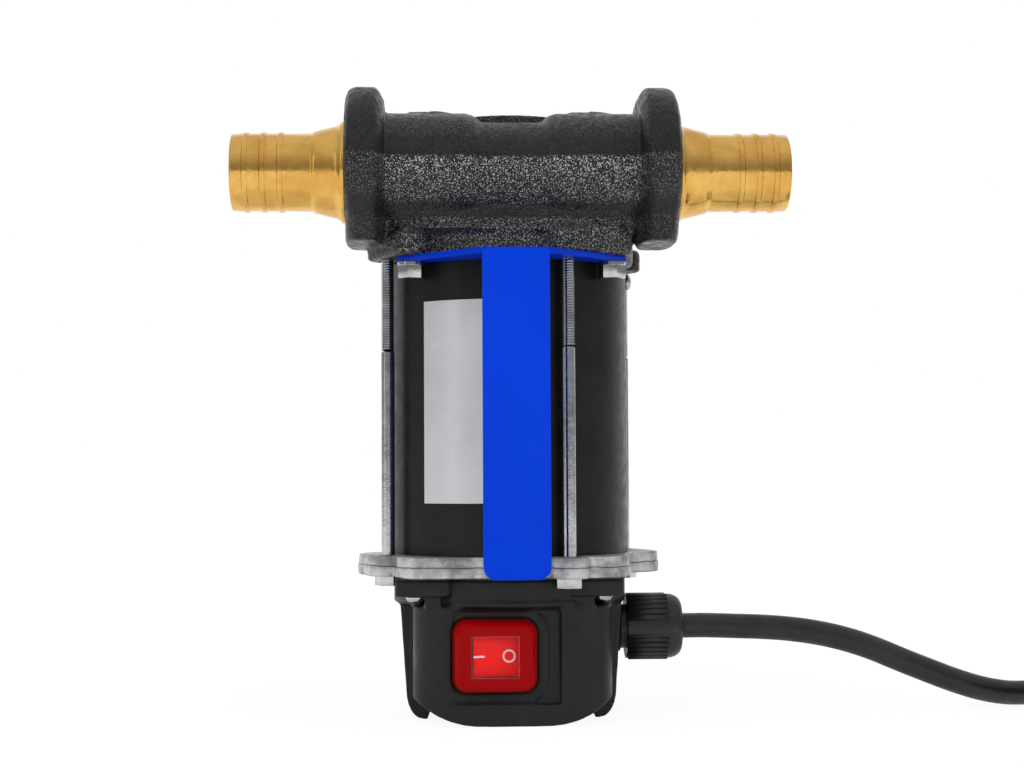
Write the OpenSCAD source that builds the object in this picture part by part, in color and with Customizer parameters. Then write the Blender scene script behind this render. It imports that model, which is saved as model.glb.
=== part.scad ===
/* [Motor] */
// Outside diameter of the motor tube
tube_od = 103.8; // [102:0.2:112]
// Wall of the motor tube
tube_wall = 3; // [2:0.5:4]
// Length of the motor tube
tube_h = 125.2; // [120:0.1:160]
// Radial thickness of the field magnets
magnet_t = 12; // [8:0.5:14]
// Length of the field magnets
magnet_h = 60; // [40:1:64]
// Length of the armature's stack of sheets
core_h = 44; // [30:1:48]
// Number of slots in the armature
core_slots = 12; // [8:1:14]
// Diameter of the commutator
commutator_d = 34; // [28:1:38]
// Length of the commutator
commutator_h = 20; // [16:1:22]
// Diameter of the motor shaft between its bearings
shaft_d = 15; // [14:0.5:16]
// Diameter of the shaft's two journals
journal_d = 12; // [10:0.5:13]

/* [Fasteners] */
// Thread diameter of the tie bolts and the handle bolts
bolt_d = 6; // [5:0.5:8]
// Width across flats of the bolt heads
bolt_af = 10; // [8:0.5:13]
// Height of the bolt heads
bolt_head_h = 4; // [3:0.5:5.5]
// Height of the heads of the two handle bolts
handle_bolt_head_h = 5.4; // [4:0.1:6]
// Angle from the front to the tie bolt on the right
tie_right_angle = 23.3; // [18:0.1:30]
// Angle from the front to the tie bolt on the left
tie_left_angle = -66.5; // [-69:0.1:-62]
// Distance from the motor tube to the axis of a tie bolt
tie_gap = 5.3; // [4.8:0.1:7]
// Distance from the motor tube to the axis of a handle bolt
handle_bolt_gap = 7.6; // [7:0.1:9]
// Diameter of the small screws in the box, cover and tube
screw_d = 4; // [3:0.5:5]

/* [End flange] */
// Thickness of the cast end flange
flange_t = 8.9; // [7:0.1:12]
// Diameter of the flange's disc
flange_d = 109; // [106:0.5:114]
// Width of the flange over its four corners
flange_w = 98; // [96:0.5:100]
// Depth of the flange over its four corners
flange_depth = 103; // [98:0.5:104]
// Corner radius of the flange
flange_corner_r = 12; // [8:0.5:14]
// Radius of the two side ears
ear_r = 17; // [14:0.5:18]
// Distance over the two side ears
ear_span = 132; // [128:0.5:136]
// Radius of the lobes round the long bolts
lobe_r = 8.5; // [8:0.1:10]

/* [Switch box] */
// Height of the box below its rim
box_h = 49.3; // [48:0.1:60]
// Height of the rim
rim_h = 11.2; // [9:0.1:16]
// Diameter of the rim
rim_d = 100.8; // [99:0.1:102]
// Width of the box at the top of its sides
box_top_w = 95; // [93:0.5:98]
// Width of the box at the bottom of its sides
box_low_w = 90; // [86:0.5:92]
// Width over the two skids that it stands on
skid_span = 76; // [70:1:80]
// Width of the round front body
box_w = 84; // [80:0.5:86]
// Depth of the round front body, front to back
box_depth = 89; // [86:0.5:96]
// Wall of the box
box_wall = 2.6; // [2:0.1:3]
// Corner radius of the round front body
box_corner_r = 16; // [10:0.5:20]
// Depth of the two side walls, front to back
side_depth = 34; // [30:1:50]
// Thickness of the gasket under the end flange
gasket_t = 0.8; // [0.5:0.1:1.5]
// Sideways place of the box screws
corner_x = 39.4; // [38:0.1:40]
// Distance that the four screws and tabs stand to the left of the middle
corner_shift = 1.6; // [0:0.1:2]
// Front to back place of the box screws
corner_y = 40; // [38:0.1:41]

/* [Switch] */
// Height of the switch's centre
switch_z = 29.2; // [27:0.1:31]
// Sideways place of the switch's centre
switch_x = -8; // [-10:0.1:-4]
// Width of the rubber cap
cap_w = 35.2; // [34.8:0.1:38]
// Height of the rubber cap
cap_h = 30.4; // [30:0.1:33]
// How far the cap stands out of its seat
cap_rise = 8.4; // [8:0.1:10]
// Wall of the rubber cap
cap_wall = 1.2; // [0.8:0.1:1.4]
// Width of the rocker
rocker_w = 20; // [18:0.5:23]
// Height of the rocker
rocker_h = 17; // [15:0.5:19]
// Angle that the rocker turns from off to on
rocker_swing = 20; // [12:1:22]

/* [Cable gland] */
// Height of the gland's axis
gland_z = 37.4; // [34:0.1:38]
// Outside diameter of the gland's nut
gland_nut_d = 30; // [28:0.5:34]
// Length of the gland's nut without its dome
gland_nut_h = 18.2; // [16:0.1:22]
// Diameter of the gland's threaded stem
gland_stem_d = 17.2; // [16.8:0.1:18]
// Diameter of the cable
cable_d = 10.8; // [10:0.1:10.8]

/* [Pump head] */
// Height of the port axis over the head's seat on the motor
port_rise = 36.6; // [36:0.1:42]
// Distance of the port axis in front of the motor axis
port_offset = 33; // [32:0.5:35]
// Distance over the faces of the two port flanges
port_span = 139; // [136:0.5:150]
// Diameter of the port flanges
port_flange_d = 72; // [66:0.5:72.4]
// Thickness of the port flanges
port_flange_t = 16; // [14:0.5:18]
// Distance from the port axis to the flat under a port flange
port_flat = 31; // [29:0.5:34]
// Diameter of the two barrels
barrel_d = 50; // [48:0.5:52]
// Diameter of the waist between the barrels
waist_d = 42.8; // [42:0.1:44]
// Length of the waist
waist_w = 25.2; // [24:0.2:30]
// Thickness of the head's foot
foot_t = 10.4; // [9:0.1:13]
// Diameter of the pump chamber
chamber_d = 56; // [55:0.5:57]
// Depth of the pump chamber
chamber_h = 22; // [18:0.5:24]
// Height of the cover's seat over the head's seat on the motor
cover_rise = 54.6; // [54:0.1:58]
// Diameter of the cover
cover_d = 76; // [75:0.5:77]
// Thickness of the cover with its raised middle
cover_t = 7.2; // [6:0.1:9]
// Diameter of the cover's raised middle
cover_hub_d = 54; // [44:0.5:56]
// Distance from the motor axis to the chamber's axis
eccentricity = 3; // [2.5:0.1:3]
// Diameter of the pump's rotor
rotor_d = 49.4; // [48:0.1:49.5]
// Number of vanes
vane_count = 5; // [4:1:7]
// Thickness of a vane
vane_t = 4; // [3:0.5:5]
// Diameter of the port's bore
port_bore = 25; // [22:0.5:26]
// Diameter of the port's thread
port_thread_d = 33.2; // [32:0.1:34]

/* [Hose barbs] */
// Length of a barb outside its flange
barb_h = 48; // [44:0.5:60]
// Diameter of the barb's crests
barb_d = 33.4; // [32:0.1:35]
// Diameter of the plain neck
barb_neck_d = 32.6; // [31:0.1:32.8]
// Diameter of the collar on the flange
barb_collar_d = 43; // [42:0.5:46]
// Width across flats of the barb's wrench seat
barb_af = 38; // [37:0.5:40]
// Number of crests on a barb
barb_crests = 3; // [2:1:4]
// Distance from one crest to the next
barb_pitch = 7.2; // [6.5:0.1:8]
// Wall of the barb
barb_wall = 3.6; // [3:0.1:4]

/* [Handle] */
// Thickness of the handle's sheet
handle_t = 2.4; // [2:0.1:3]
// Width of the grip
grip_w = 27; // [24:0.5:32]
// Distance of the grip's face from the motor axis
grip_reach = 80; // [77:0.5:90]
// Length of the grip
grip_h = 133; // [110:1:133]
// Width over the ends of the handle's plate
plate_w = 96; // [95:0.5:99]
// Corner radius at the bottom of the grip
grip_corner_r = 5.3; // [3:0.1:8]

/* [Lead clamps] */
// Length of a battery clamp
clamp_l = 80; // [76:1:90]
// Height of a clamp's sheet when it lies on its side
clamp_h = 18; // [17:0.5:22]
// Diameter of a lead
lead_d = 5; // [4:0.1:5]

/* [Hidden] */
$fn = 48;
// Overrun of a cut past a face
cut = 1;
// Clearance of a close fit
fit = 0.05;
// Clearance of a loose fit
loose = 0.2;
// Gap between pieces that move past each other
run_gap = 0.3;

// Heights of the stack on the motor axis
rim_z = box_h;
gasket_z = rim_z + rim_h;
flange_z = gasket_z + gasket_t;
tube_z = flange_z + flange_t;
head_z = tube_z + tube_h;
port_z = head_z + port_rise;
cover_z = head_z + cover_rise;
tube_r = tube_od / 2;
tube_inner_r = tube_r - tube_wall;
tie_r = tube_r + tie_gap;
handle_bolt_r = tube_r + handle_bolt_gap;
handle_bolt_angle = 45;
tie_angles = [tie_right_angle, tie_left_angle, tie_right_angle + 180, tie_left_angle + 180];
port_face = port_span / 2;

// Fasteners
bolt_hole_d = bolt_d + 2 * fit;
bolt_clear_d = bolt_d + 3 * loose;
washer_t = 1.6;
washer_d = bolt_af + washer_t;
bolt_tip_gap = 3;
screw_head_d = 1.9 * screw_d;
screw_head_h = 0.6 * screw_d;
screw_top_share = 0.8;
screw_hole_d = screw_d + 2 * fit;

// Bearings, seal and spigots
low_bearing_od = 32;
low_bearing_h = 10;
top_bearing_od = 35;
top_bearing_h = 11;
bearing_ring_t = 2.6;
bearing_web = 2;
ball_share = 0.96;
balls = 8;
hub_wall = 4;
spigot_h = 4;
head_spigot_h = 15;
spigot_wall = 3;
seal_h = 7;
seal_od = 30;
seal_lip = 1.5;

// Motor inside
magnet_arc = 130;
magnet_lift = 40;
magnet_z = tube_z + magnet_lift;
core_z = magnet_z + (magnet_h - core_h) / 2;
air_gap = 0.7;
magnet_inner_r = tube_inner_r - loose - magnet_t;
core_r = magnet_inner_r - air_gap;
slot_r_share = 0.77;
slot_d = 11;
slot_mouth = 3;
winding_h = 12;
winding_r_share = 0.95;
winding_corner = 4;
commutator_gap = 2;
commutator_z = core_z - winding_h - commutator_gap - commutator_h;
commutator_r = commutator_d / 2;
segment_cut = 0.6;
segments = 24;
brush_w = 6.5;
brush_h = 10;
brush_l = 16;
brush_z = commutator_z + (commutator_h - brush_h) / 2;
brush_wall = 1.4;
brush_box_gap = 2;
brush_box_l = tube_inner_r - spigot_wall - commutator_r - 2 * run_gap - 2 * brush_box_gap;
brush_plate_gap = 1;
brush_plate_t = 3;
brush_plate_z = brush_z - brush_plate_t - brush_wall;
post_d = 8;
brush_spring_d = 6;
brush_spring_wire = 0.8;
brush_spring_turns = 5;
lead_hole_d = 8;
lead_hole_r = 32;

// Nameplate
plate_t = 0.3;
nameplate_z = 22;
nameplate_h = 84.6;
nameplate_from = -45;
nameplate_to = 8;
side_screw_drop = 6.8;
side_screw_z = head_z - side_screw_drop;

// Switch box
foot_flat_w = 28;
dome_rise = 3.1;
dome_half_w = 29;
skid_w = 2;
skid_slope = 2;
side_curve_h = 12;
curve_steps = 6;
front_y = -box_depth / 2;
box_floor_t = 3.4;
tab_w = 23.4;
tab_depth = 15;
tab_h = 6.8;
tab_r = 3;
tab_over = 8.2;
tab_inset = 1.6;
tab_front = corner_y + tab_over - tab_inset;
pocket_t = 2;
pocket_right = 19.6;
pocket_margin = 1.2;
pocket_top = rim_z - pocket_margin;
pocket_bottom = 9;
collar_t = 1.2;
collar_step = 4.5;
cap_r = 6;
seat_y = front_y + pocket_t;
bezel_margin = 1.6;
bezel_t = 2;
bezel_w = cap_w - 2 * cap_wall - bezel_margin;
bezel_h = cap_h - 2 * cap_wall - bezel_margin;
switch_body_margin = 3;
switch_body_w = bezel_w - switch_body_margin;
switch_body_h = bezel_h - switch_body_margin;
switch_body_depth = 24;
switch_wall = 1.2;
rocker_depth = 7;
rocker_out = 3.2;
rocker_pin_d = 2.4;
rocker_pin_depth = 2.6;
rocker_pin_y = seat_y - bezel_t + rocker_pin_depth;
terminal_w = 6.3;
terminal_t = 0.8;
terminal_l = 9;
terminal_share = 1.2;
rocker_tip = 1.6;
rocker_foot_share = 0.8;
cap_round = 2.4;

// Gland
boss_rise = 0.7;
boss_x = box_top_w / 2 + boss_rise;
boss_r = 11;
boss_wall = boss_x - box_w / 2 + box_wall;
dome_share = 0.9;
rib_group = 9;
rib_blank = 3;
neck_h = 2.6;
neck_d = 19.2;
gland_nut_x = boss_x + neck_h;
gland_dome_h = 6;
gland_end_x = gland_nut_x + gland_nut_h + gland_dome_h;
gland_thread_d = 22;
gland_thread_h = 11;
gland_bore = cable_d + 2 * loose;
gland_ribs = 36;
rib_depth = 1;
rib_sunk = 0.1;
rib_end = 0.6;
locknut_t = 4;
stem_past = 1;
locknut_d = 23;
insert_h = 9;
cable_in_l = 14;

// Pump head
barrel_r = barrel_d / 2;
foot_r = 55;
neck_r = 41;
flange_lip = 3;
flange_rim_in = 2.5;
chamber_bottom = cover_z - chamber_h;
saddle_w = 92;
saddle_h = 8.6;
saddle_rise_shares = [0.12, 0.3, 0.58, 1];
saddle_in_shares = [0.3, 0.58, 0.84, 1];
saddle_foot_y = 57;
saddle_top_y = 47.6;
barrel_cone = 4.2;
cover_spot = 1.2;
seal_t = 0.8;
cover_rim_t = 5.8;
cover_screws_n = 6;
cover_screw_in = 4.6;
cover_screw_r = cover_d / 2 - cover_screw_in;
port_wall = 24;
port_depth = port_face - port_wall / 2;
thread_h = 17;
window_w = 12;
window_h = 18;
window_rise = 0.9;
relief_back = 2.4;
relief_y = -port_offset + relief_back;
relief_d = 8.4;
relief_seat_d = 5.5;
relief_low_drop = 11;
relief_seat_drop = 5;
relief_low_z = port_z - relief_low_drop;
relief_seat_z = port_z - relief_seat_drop;
relief_top_z = cover_z;
relief_plug_h = 5;
relief_window_h = 6;
relief_low_h = 5;
poppet_h = 6;
poppet_disc_h = 2;
poppet_stem_d = 4;
relief_wire = 0.9;
relief_turns = 5;
key_w = 4;
vane_depth = 14;
cover_hole_h = 12;
arrow_l = 18;
arrow_w = 11;
arrow_rise = 1;
arrow_sink = 1.6;
arrow_x = 34;

// Barbs
collar_h = 2.4;
cone_top_d = 36.4;
cone_h = 5;
wrench_h = 4.4;
land_h = 2.2;
seal_washer_t = 1.5;
barb_step = 2;
barb_bore = barb_neck_d - 2 * barb_wall;

// Handle
bend_r = 4;
plate_end = 42;
plate_relief = 1.6;
handle_z = head_z - handle_t;

// Place of the coil's middle beside the pump
coil_x = 300;

// Cord: hand-chosen points of the stretch that lies free, in millimetres
cable_route = [
    [gland_end_x, 0, gland_z], [86, 0, gland_z], [98, 0, 37], [112, 0, 36.4], [124, 0, 35.4], [136, 0, 33.6],
    [148, 0, 30.8], [160, 0, 26.8], [172, 0, 21.8], [184, 0, 17], [196, 0.4, 12.4], [208, 1.8, 8.6],
    [220, 4.6, 6.2], [232, 8.8, 5.5], [244, 13.4, 5.6], [256, 18.4, 6], [268, 22.6, 6.4],
    [279, 25, 6.7], [coil_x - cable_d, 25, 6.7]];
coil_outer_r = 68.5;
coil_at = [coil_x, 25 - coil_outer_r];
coil_turns = 5;
coil_step = 11.5;
coil_layer = 11.4;
coil_z = 6.7;
coil_rings = 24;
coil_sides = 6;
tail_route = [[311, 25, 18.1], [321, 25, 18.1], [331, 25, 16.4], [341, 25, 12.4], [351, 25, 7.6],
    [361, 25, 5.4], [371, 25, 5.4]];
tie_t = 1.3;
tie_w = 7.6;
boot_l = 24;
boot_x = 371;
boot_y = 25;
boot_d = 13;
boot_z = 6;
red_route = [[395, 28.4, 5.4], [400, 28.4, 5.4], [405, 29.6, 4], [410, 33, 3], [413, 38, 2.6],
    [413.6, 43, 2.6], [413, 48, 2.6], [410, 53, 2.8], [405, 56.6, 4], [399, 58, 6], [391, 58, 8.6],
    [384, 58, 10.2], [377.6, 58, 10.2]];
black_route = [[395, 21.6, 5.4], [402, 21.6, 5.4], [410, 22.8, 4], [418, 26.4, 3], [425, 33, 2.6],
    [429, 42, 2.6], [430, 53, 2.6], [429, 63, 2.6], [425, 72.6, 2.6], [417, 80, 2.8], [408, 83.4, 4],
    [398, 84, 6.4], [386, 84, 10.2], [377.6, 84, 10.2]];
red_clamp_y = 48;
black_clamp_y = 74;
clamp_end_x = 375;

// Clamp
clamp_t = 1.6;
clamp_half = 10;
clamp_pivot = 44;
clamp_waist = 5.4;
clamp_narrow_share = 0.8;
clamp_belly = 2;
clamp_nose = 7;
ear_t = 1.2;
pin_d = 4;
pin_ear_r = 4;
grip_t = 4.6;
grip_l = 32;
clamp_lift = 1.2;
clamp_wire = 1;
clamp_turns = 5;

// Turns a piece to an angle from the front and puts it at a radius
module at_angle(a, r) {
    rotate([0, 0, a]) translate([0, -r, 0]) children();
}

// A tube that stands on z = 0
module ring(od, id, h) {
    difference() {
        cylinder(d = od, h = h);
        translate([0, 0, -cut]) cylinder(d = id, h = h + 2 * cut);
    }
}

// A hexagonal prism that stands on z = 0
module hexagon(af, h) {
    cylinder(d = af / cos(30), h = h, $fn = 6);
}

// A rectangle with round corners, from its two corners
module round_rect(x0, x1, y0, y1, r) {
    translate([x0 + r, y0]) square([x1 - x0 - 2 * r, y1 - y0]);
    translate([x0, y0 + r]) square([x1 - x0, y1 - y0 - 2 * r]);
    for (x = [x0 + r, x1 - r], y = [y0 + r, y1 - r]) translate([x, y]) circle(r = r);
}

// A round rectangle in the XZ plane, from its centre, that starts at y and runs to the back
module plate_xz(x, z, w, h, r, y, t) {
    translate([x, y + t, z]) rotate([90, 0, 0]) linear_extrude(t) round_rect(-w / 2, w / 2, -h / 2, h / 2, r);
}

// A cylinder along X
module along_x(d, x0, x1) {
    translate([x0, 0, 0]) rotate([0, 90, 0]) cylinder(d = d, h = x1 - x0);
}

// Vector helpers for swept tubes
function unit(v) = v / norm(v);
function tangent(p, i) = unit(p[min(i + 1, len(p) - 1)] - p[max(i - 1, 0)]);
function side_of(t) = unit(cross(t, [0, 0, 1]));

// The points of a tube's rings along a path
function tube_points(p, r, n) = [
    for (i = [0:len(p) - 1])
        let (t = tangent(p, i), s = side_of(t), u = cross(s, t))
            for (k = [0:n - 1]) p[i] + r * (cos(360 * k / n) * s + sin(360 * k / n) * u)];

// The triangles of that tube, with a fan at each end
function tube_faces(m, n) = concat(
    [for (i = [0:m - 2], k = [0:n - 1]) [i * n + k, i * n + (k + 1) % n, (i + 1) * n + k]],
    [for (i = [0:m - 2], k = [0:n - 1]) [i * n + (k + 1) % n, (i + 1) * n + (k + 1) % n, (i + 1) * n + k]],
    [for (k = [1:n - 2]) [0, k + 1, k]],
    [for (k = [1:n - 2]) [(m - 1) * n, (m - 1) * n + k, (m - 1) * n + k + 1]]);

module sweep(p, d, n) {
    polyhedron(tube_points(p, d / 2, n), tube_faces(len(p), n));
}

// The least gap between the turns of a tube, looking past the nearest points
function least_gap(p, d, skip) = min([
    for (i = [0:len(p) - skip - 1], j = [i + skip:len(p) - 1]) norm(p[i] - p[j])]) - d;

// Points of a spring that stands on z = 0
function spring_points(r, h, turns, wire) = [
    for (k = [0:turns * 8]) [r * cos(45 * k), r * sin(45 * k), wire / 2 + (h - wire) * k / (turns * 8)]];

// A spring with no twist in its wire: the ring frame leans on the axis
function spring_rings(p, r, n) = [
    for (i = [0:len(p) - 1])
        let (o = unit([p[i][0], p[i][1], 0]), t = tangent(p, i), u = unit(cross(t, o)))
            for (k = [0:n - 1]) p[i] + r * (cos(360 * k / n) * o + sin(360 * k / n) * u)];

module spring(r, h, turns, wire) {
    p = spring_points(r, h, turns, wire);
    polyhedron(spring_rings(p, wire / 2, 6), tube_faces(len(p), 6));
}

// The round body of the switch box, seen from above
module box_plan() {
    round_rect(-box_w / 2, box_w / 2, front_y, -front_y, box_corner_r);
}

function dome(x) = dome_rise * pow(max(0, abs(x) - foot_flat_w / 2) / (dome_half_w - foot_flat_w / 2), 2);

// The front outline of the round body, with its crowned bottom
function body_outline() = concat(
    [for (k = [-8:8]) let (x = k / 8 * box_w / 2) [x, dome(x)]],
    [[box_w / 2, rim_z + cut], [-box_w / 2, rim_z + cut]]);

// One half of the side walls' outline, from the skid to the rim
function side_half() = concat(
    [[skid_span / 2 - skid_w - skid_slope, dome(skid_span / 2 - skid_w - skid_slope)],
        [skid_span / 2 - skid_w, 0]],
    [for (k = [0:curve_steps]) let (a = 90 * k / curve_steps) [
        skid_span / 2 + (box_low_w - skid_span) / 2 * sin(a), side_curve_h * (1 - cos(a))]],
    [[box_top_w / 2, rim_z], [skid_span / 2 - skid_w - skid_slope, rim_z]]);

// The four corner tabs that carry the box screws, seen from above
module tab_plan() {
    for (x = [0, 1], y = [0, 1]) translate([-corner_shift, 0]) mirror([x, 0]) mirror([0, y])
        round_rect(corner_x + tab_over - tab_w, corner_x + tab_over, tab_front - tab_depth, tab_front, tab_r);
}

// The rim with its tabs, cut back round the heads of the tie bolts
module rim_plan() {
    difference() {
        union() {
            circle(d = rim_d);
            tab_plan();
        }
        bolt_head_cuts();
    }
}

module bolt_head_cuts() {
    for (a = tie_angles) rotate(a) translate([0, -tie_r]) circle(d = bolt_af / cos(30) + 2 * loose);
}

// The cavity of the box, seen from above
module box_opening() {
    round_rect(-box_w / 2 + box_wall, box_w / 2 - box_wall, seat_y + box_wall, -front_y - box_wall,
        box_corner_r - box_wall);
}

module at_corners() {
    for (x = [-corner_x, corner_x], y = [-corner_y, corner_y])
        translate([x - corner_shift, y, 0]) children();
}

// The pocket in the front, the step round the cap and the window for the switch
module switch_pocket() {
    left = switch_x - cap_w / 2 - loose;
    depth = pocket_t + cut;
    difference() {
        translate([left, front_y - cut, pocket_bottom])
            cube([pocket_right - left, depth, pocket_top - pocket_bottom]);
        plate_xz(switch_x, switch_z, cap_w + 2 * collar_step, cap_h + 2 * collar_step, cap_r + collar_step,
            seat_y - collar_t, collar_t + cut);
    }
    plate_xz(switch_x, switch_z, cap_w + 2 * loose, cap_h + 2 * loose, cap_r + loose, front_y - cut, depth);
    translate([switch_x - switch_body_w / 2 - fit, front_y - cut, switch_z - switch_body_h / 2 - fit])
        cube([switch_body_w + 2 * fit, box_depth / 2, switch_body_h + 2 * fit]);
}

module switch_box() {
    color([0.07, 0.07, 0.07]) difference() {
        union() {
            intersection() {
                translate([0, -front_y, 0]) rotate([90, 0, 0]) linear_extrude(box_depth)
                    polygon(body_outline());
                linear_extrude(rim_z) box_plan();
            }
            for (m = [0, 1]) mirror([m, 0, 0]) translate([0, side_depth / 2, 0]) rotate([90, 0, 0])
                linear_extrude(side_depth) polygon(side_half());
            translate([0, 0, rim_z]) cylinder(d = rim_d, h = rim_h);
            translate([0, 0, gasket_z - tab_h]) linear_extrude(tab_h) tab_plan();
            translate([0, 0, gland_z]) along_x(2 * boss_r, box_w / 2, boss_x);
        }
        translate([0, 0, box_floor_t + dome(box_w / 2)]) linear_extrude(gasket_z) box_opening();
        translate([0, 0, gland_z]) along_x(gland_stem_d + 2 * loose, 0, boss_x + cut);
        switch_pocket();
        at_corners() translate([0, 0, gasket_z - tab_h - cut])
            cylinder(d = screw_hole_d, h = tab_h + 2 * cut);
        translate([0, 0, rim_z - cut]) linear_extrude(gasket_z) bolt_head_cuts();
    }
}

module box_gasket() {
    color([0.15, 0.15, 0.15]) translate([0, 0, gasket_z]) difference() {
        linear_extrude(gasket_t) rim_plan();
        translate([0, 0, -cut]) linear_extrude(gasket_t + 2 * cut) box_opening();
        at_corners() translate([0, 0, -cut]) cylinder(d = screw_hole_d, h = gasket_t + 2 * cut);
    }
}

// A pan-head screw with its head below z = 0 and its shank above
module pan_screw(shank) {
    translate([0, 0, -screw_head_h])
        cylinder(d1 = screw_head_d * screw_top_share, d2 = screw_head_d, h = screw_head_h);
    cylinder(d = screw_d, h = shank);
}

module box_screws() {
    color([0.8, 0.8, 0.8]) at_corners() translate([0, 0, gasket_z - tab_h])
        pan_screw(tab_h + gasket_t + flange_t - bearing_web);
}

// Rear part of the switch, with the bezel in front and the rocker's pin
module switch_housing() {
    back = seat_y + switch_body_depth;
    color([0.05, 0.05, 0.05]) {
        difference() {
            union() {
                plate_xz(switch_x, switch_z, bezel_w, bezel_h, tab_r, seat_y - bezel_t, bezel_t);
                plate_xz(switch_x, switch_z, switch_body_w, switch_body_h, switch_wall, seat_y - bezel_t,
                    switch_body_depth + bezel_t);
            }
            translate([switch_x - switch_body_w / 2 + switch_wall, seat_y - bezel_t - cut,
                switch_z - rocker_h / 2 - loose])
                cube([switch_body_w - 2 * switch_wall, rocker_depth + rocker_out + bezel_t + cut,
                    rocker_h + 2 * loose]);
            for (k = [-1:1]) translate([switch_x + k * terminal_w * terminal_share - terminal_w / 2 - fit,
                back - terminal_l / 3, switch_z - terminal_t / 2 - fit])
                cube([terminal_w + 2 * fit, terminal_l, terminal_t + 2 * fit]);
        }
        translate([switch_x, rocker_pin_y, switch_z - rocker_h / 2 - loose - switch_wall])
            cylinder(d = rocker_pin_d, h = rocker_h + 2 * loose + 2 * switch_wall);
    }
}

// The rocker, drawn level and turned to its off side
module rocker() {
    half = rocker_w / 2;
    color([0.85, 0.04, 0.04]) translate([switch_x, rocker_pin_y, switch_z - rocker_h / 2])
        rotate([0, 0, rocker_swing / 2]) linear_extrude(rocker_h) difference() {
            union() {
                polygon([[-half, -rocker_out - rocker_tip], [0, -rocker_out],
                    [half, -rocker_out - rocker_tip], [half * rocker_foot_share, rocker_tip],
                    [0, rocker_depth - rocker_tip], [-half * rocker_foot_share, rocker_tip]]);
                circle(d = rocker_pin_d + 2 * switch_wall);
            }
            circle(d = rocker_pin_d + 2 * fit);
        }
}

module switch_terminals() {
    back = seat_y + switch_body_depth;
    color([0.8, 0.7, 0.4]) for (k = [-1:1])
        translate([switch_x + k * terminal_w * terminal_share - terminal_w / 2, back - terminal_l / 3 + fit,
            switch_z - terminal_t / 2]) cube([terminal_w, terminal_l, terminal_t]);
}

module switch_cap() {
    out_y = seat_y - cap_rise;
    color([0.8, 0.05, 0.08]) difference() {
        union() {
            plate_xz(switch_x, switch_z, cap_w, cap_h, cap_r, seat_y - bezel_t, bezel_t);
            hull() {
                plate_xz(switch_x, switch_z, cap_w, cap_h, cap_r, seat_y - bezel_t - fit, fit);
                plate_xz(switch_x, switch_z, cap_w - 2 * cap_round, cap_h - 2 * cap_round, cap_r - cap_round,
                    out_y, fit);
                plate_xz(switch_x, switch_z, cap_w - cap_round, cap_h - cap_round, cap_r - cap_round / 2,
                    out_y + cap_round / 2, fit);
            }
        }
        plate_xz(switch_x, switch_z, cap_w - 2 * cap_wall, cap_h - 2 * cap_wall, cap_r - cap_wall,
            out_y + cap_wall + cap_round, cap_rise + cut);
        plate_xz(switch_x, switch_z, cap_w - 2 * cap_wall - cap_round, cap_h - 2 * cap_wall - cap_round,
            cap_r - cap_wall - cap_round / 2, out_y + cap_wall, cap_rise);
    }
}

module gland_body() {
    color([0.09, 0.09, 0.09]) translate([0, 0, gland_z]) difference() {
        union() {
            along_x(gland_stem_d, boss_x - boss_wall - locknut_t - stem_past, boss_x);
            along_x(neck_d, boss_x, gland_nut_x);
            along_x(gland_thread_d, gland_nut_x, gland_nut_x + gland_thread_h);
        }
        along_x(gland_bore, 0, gland_end_x);
    }
}

module gland_locknut() {
    x = boss_x - boss_wall - locknut_t;
    color([0.09, 0.09, 0.09]) translate([0, 0, gland_z]) difference() {
        translate([x, 0, 0]) rotate([0, 90, 0]) hexagon(locknut_d * cos(30), locknut_t);
        along_x(gland_stem_d + 2 * fit, x - cut, x + locknut_t + cut);
    }
}

module gland_insert() {
    x = gland_nut_x + gland_thread_h + run_gap;
    color([0.12, 0.12, 0.12]) translate([x, 0, gland_z]) rotate([0, 90, 0])
        ring(gland_thread_d - 2 * fit, gland_bore, insert_h);
}

module gland_nut() {
    nut_r = gland_nut_d / 2 - rib_depth;
    end_r = gland_nut_d / 2 - gland_dome_h * dome_share;
    color([0.09, 0.09, 0.09]) translate([gland_nut_x, 0, gland_z]) rotate([0, 90, 0]) difference() {
        union() {
            rotate_extrude() polygon(concat([[0, 0], [nut_r, 0]],
                [for (k = [0:curve_steps]) let (a = 90 * k / curve_steps) [
                    end_r + (nut_r - end_r) * cos(a), gland_nut_h + gland_dome_h * sin(a)]],
                [[0, gland_nut_h + gland_dome_h]]));
            for (k = [0:gland_ribs - 1]) if (k % rib_group < rib_group - rib_blank)
                rotate([0, 0, 360 * k / gland_ribs]) translate([nut_r - rib_sunk, 0, rib_end])
                    cylinder(r = rib_depth + rib_sunk, h = gland_nut_h - 2 * rib_end);
        }
        translate([0, 0, -cut]) cylinder(d = gland_bore, h = gland_nut_h + gland_dome_h + 2 * cut);
        translate([0, 0, -cut]) cylinder(d = gland_thread_d + 2 * fit,
            h = gland_thread_h + run_gap + insert_h + cut + loose);
    }
}

// The end of the cable inside the gland and the box
module cable_inner() {
    color([0.05, 0.05, 0.05]) translate([0, 0, gland_z]) along_x(cable_d, boss_x - cable_in_l, gland_end_x);
}

// Seen from above, the end flange: disc, round corners, and an ear on each side that runs into a lobe
module flange_plan() {
    circle(d = flange_d);
    round_rect(-flange_w / 2, flange_w / 2, -flange_depth / 2, flange_depth / 2, flange_corner_r);
    for (a = [tie_right_angle, tie_right_angle + 180]) rotate(a) translate([0, -tie_r]) circle(r = lobe_r);
    for (k = [0, 1]) rotate(180 * k) hull() {
        translate([-ear_span / 2 + ear_r, -ear_r / 4]) circle(r = ear_r);
        rotate(tie_left_angle) translate([0, -tie_r]) circle(r = lobe_r);
    }
}

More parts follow.
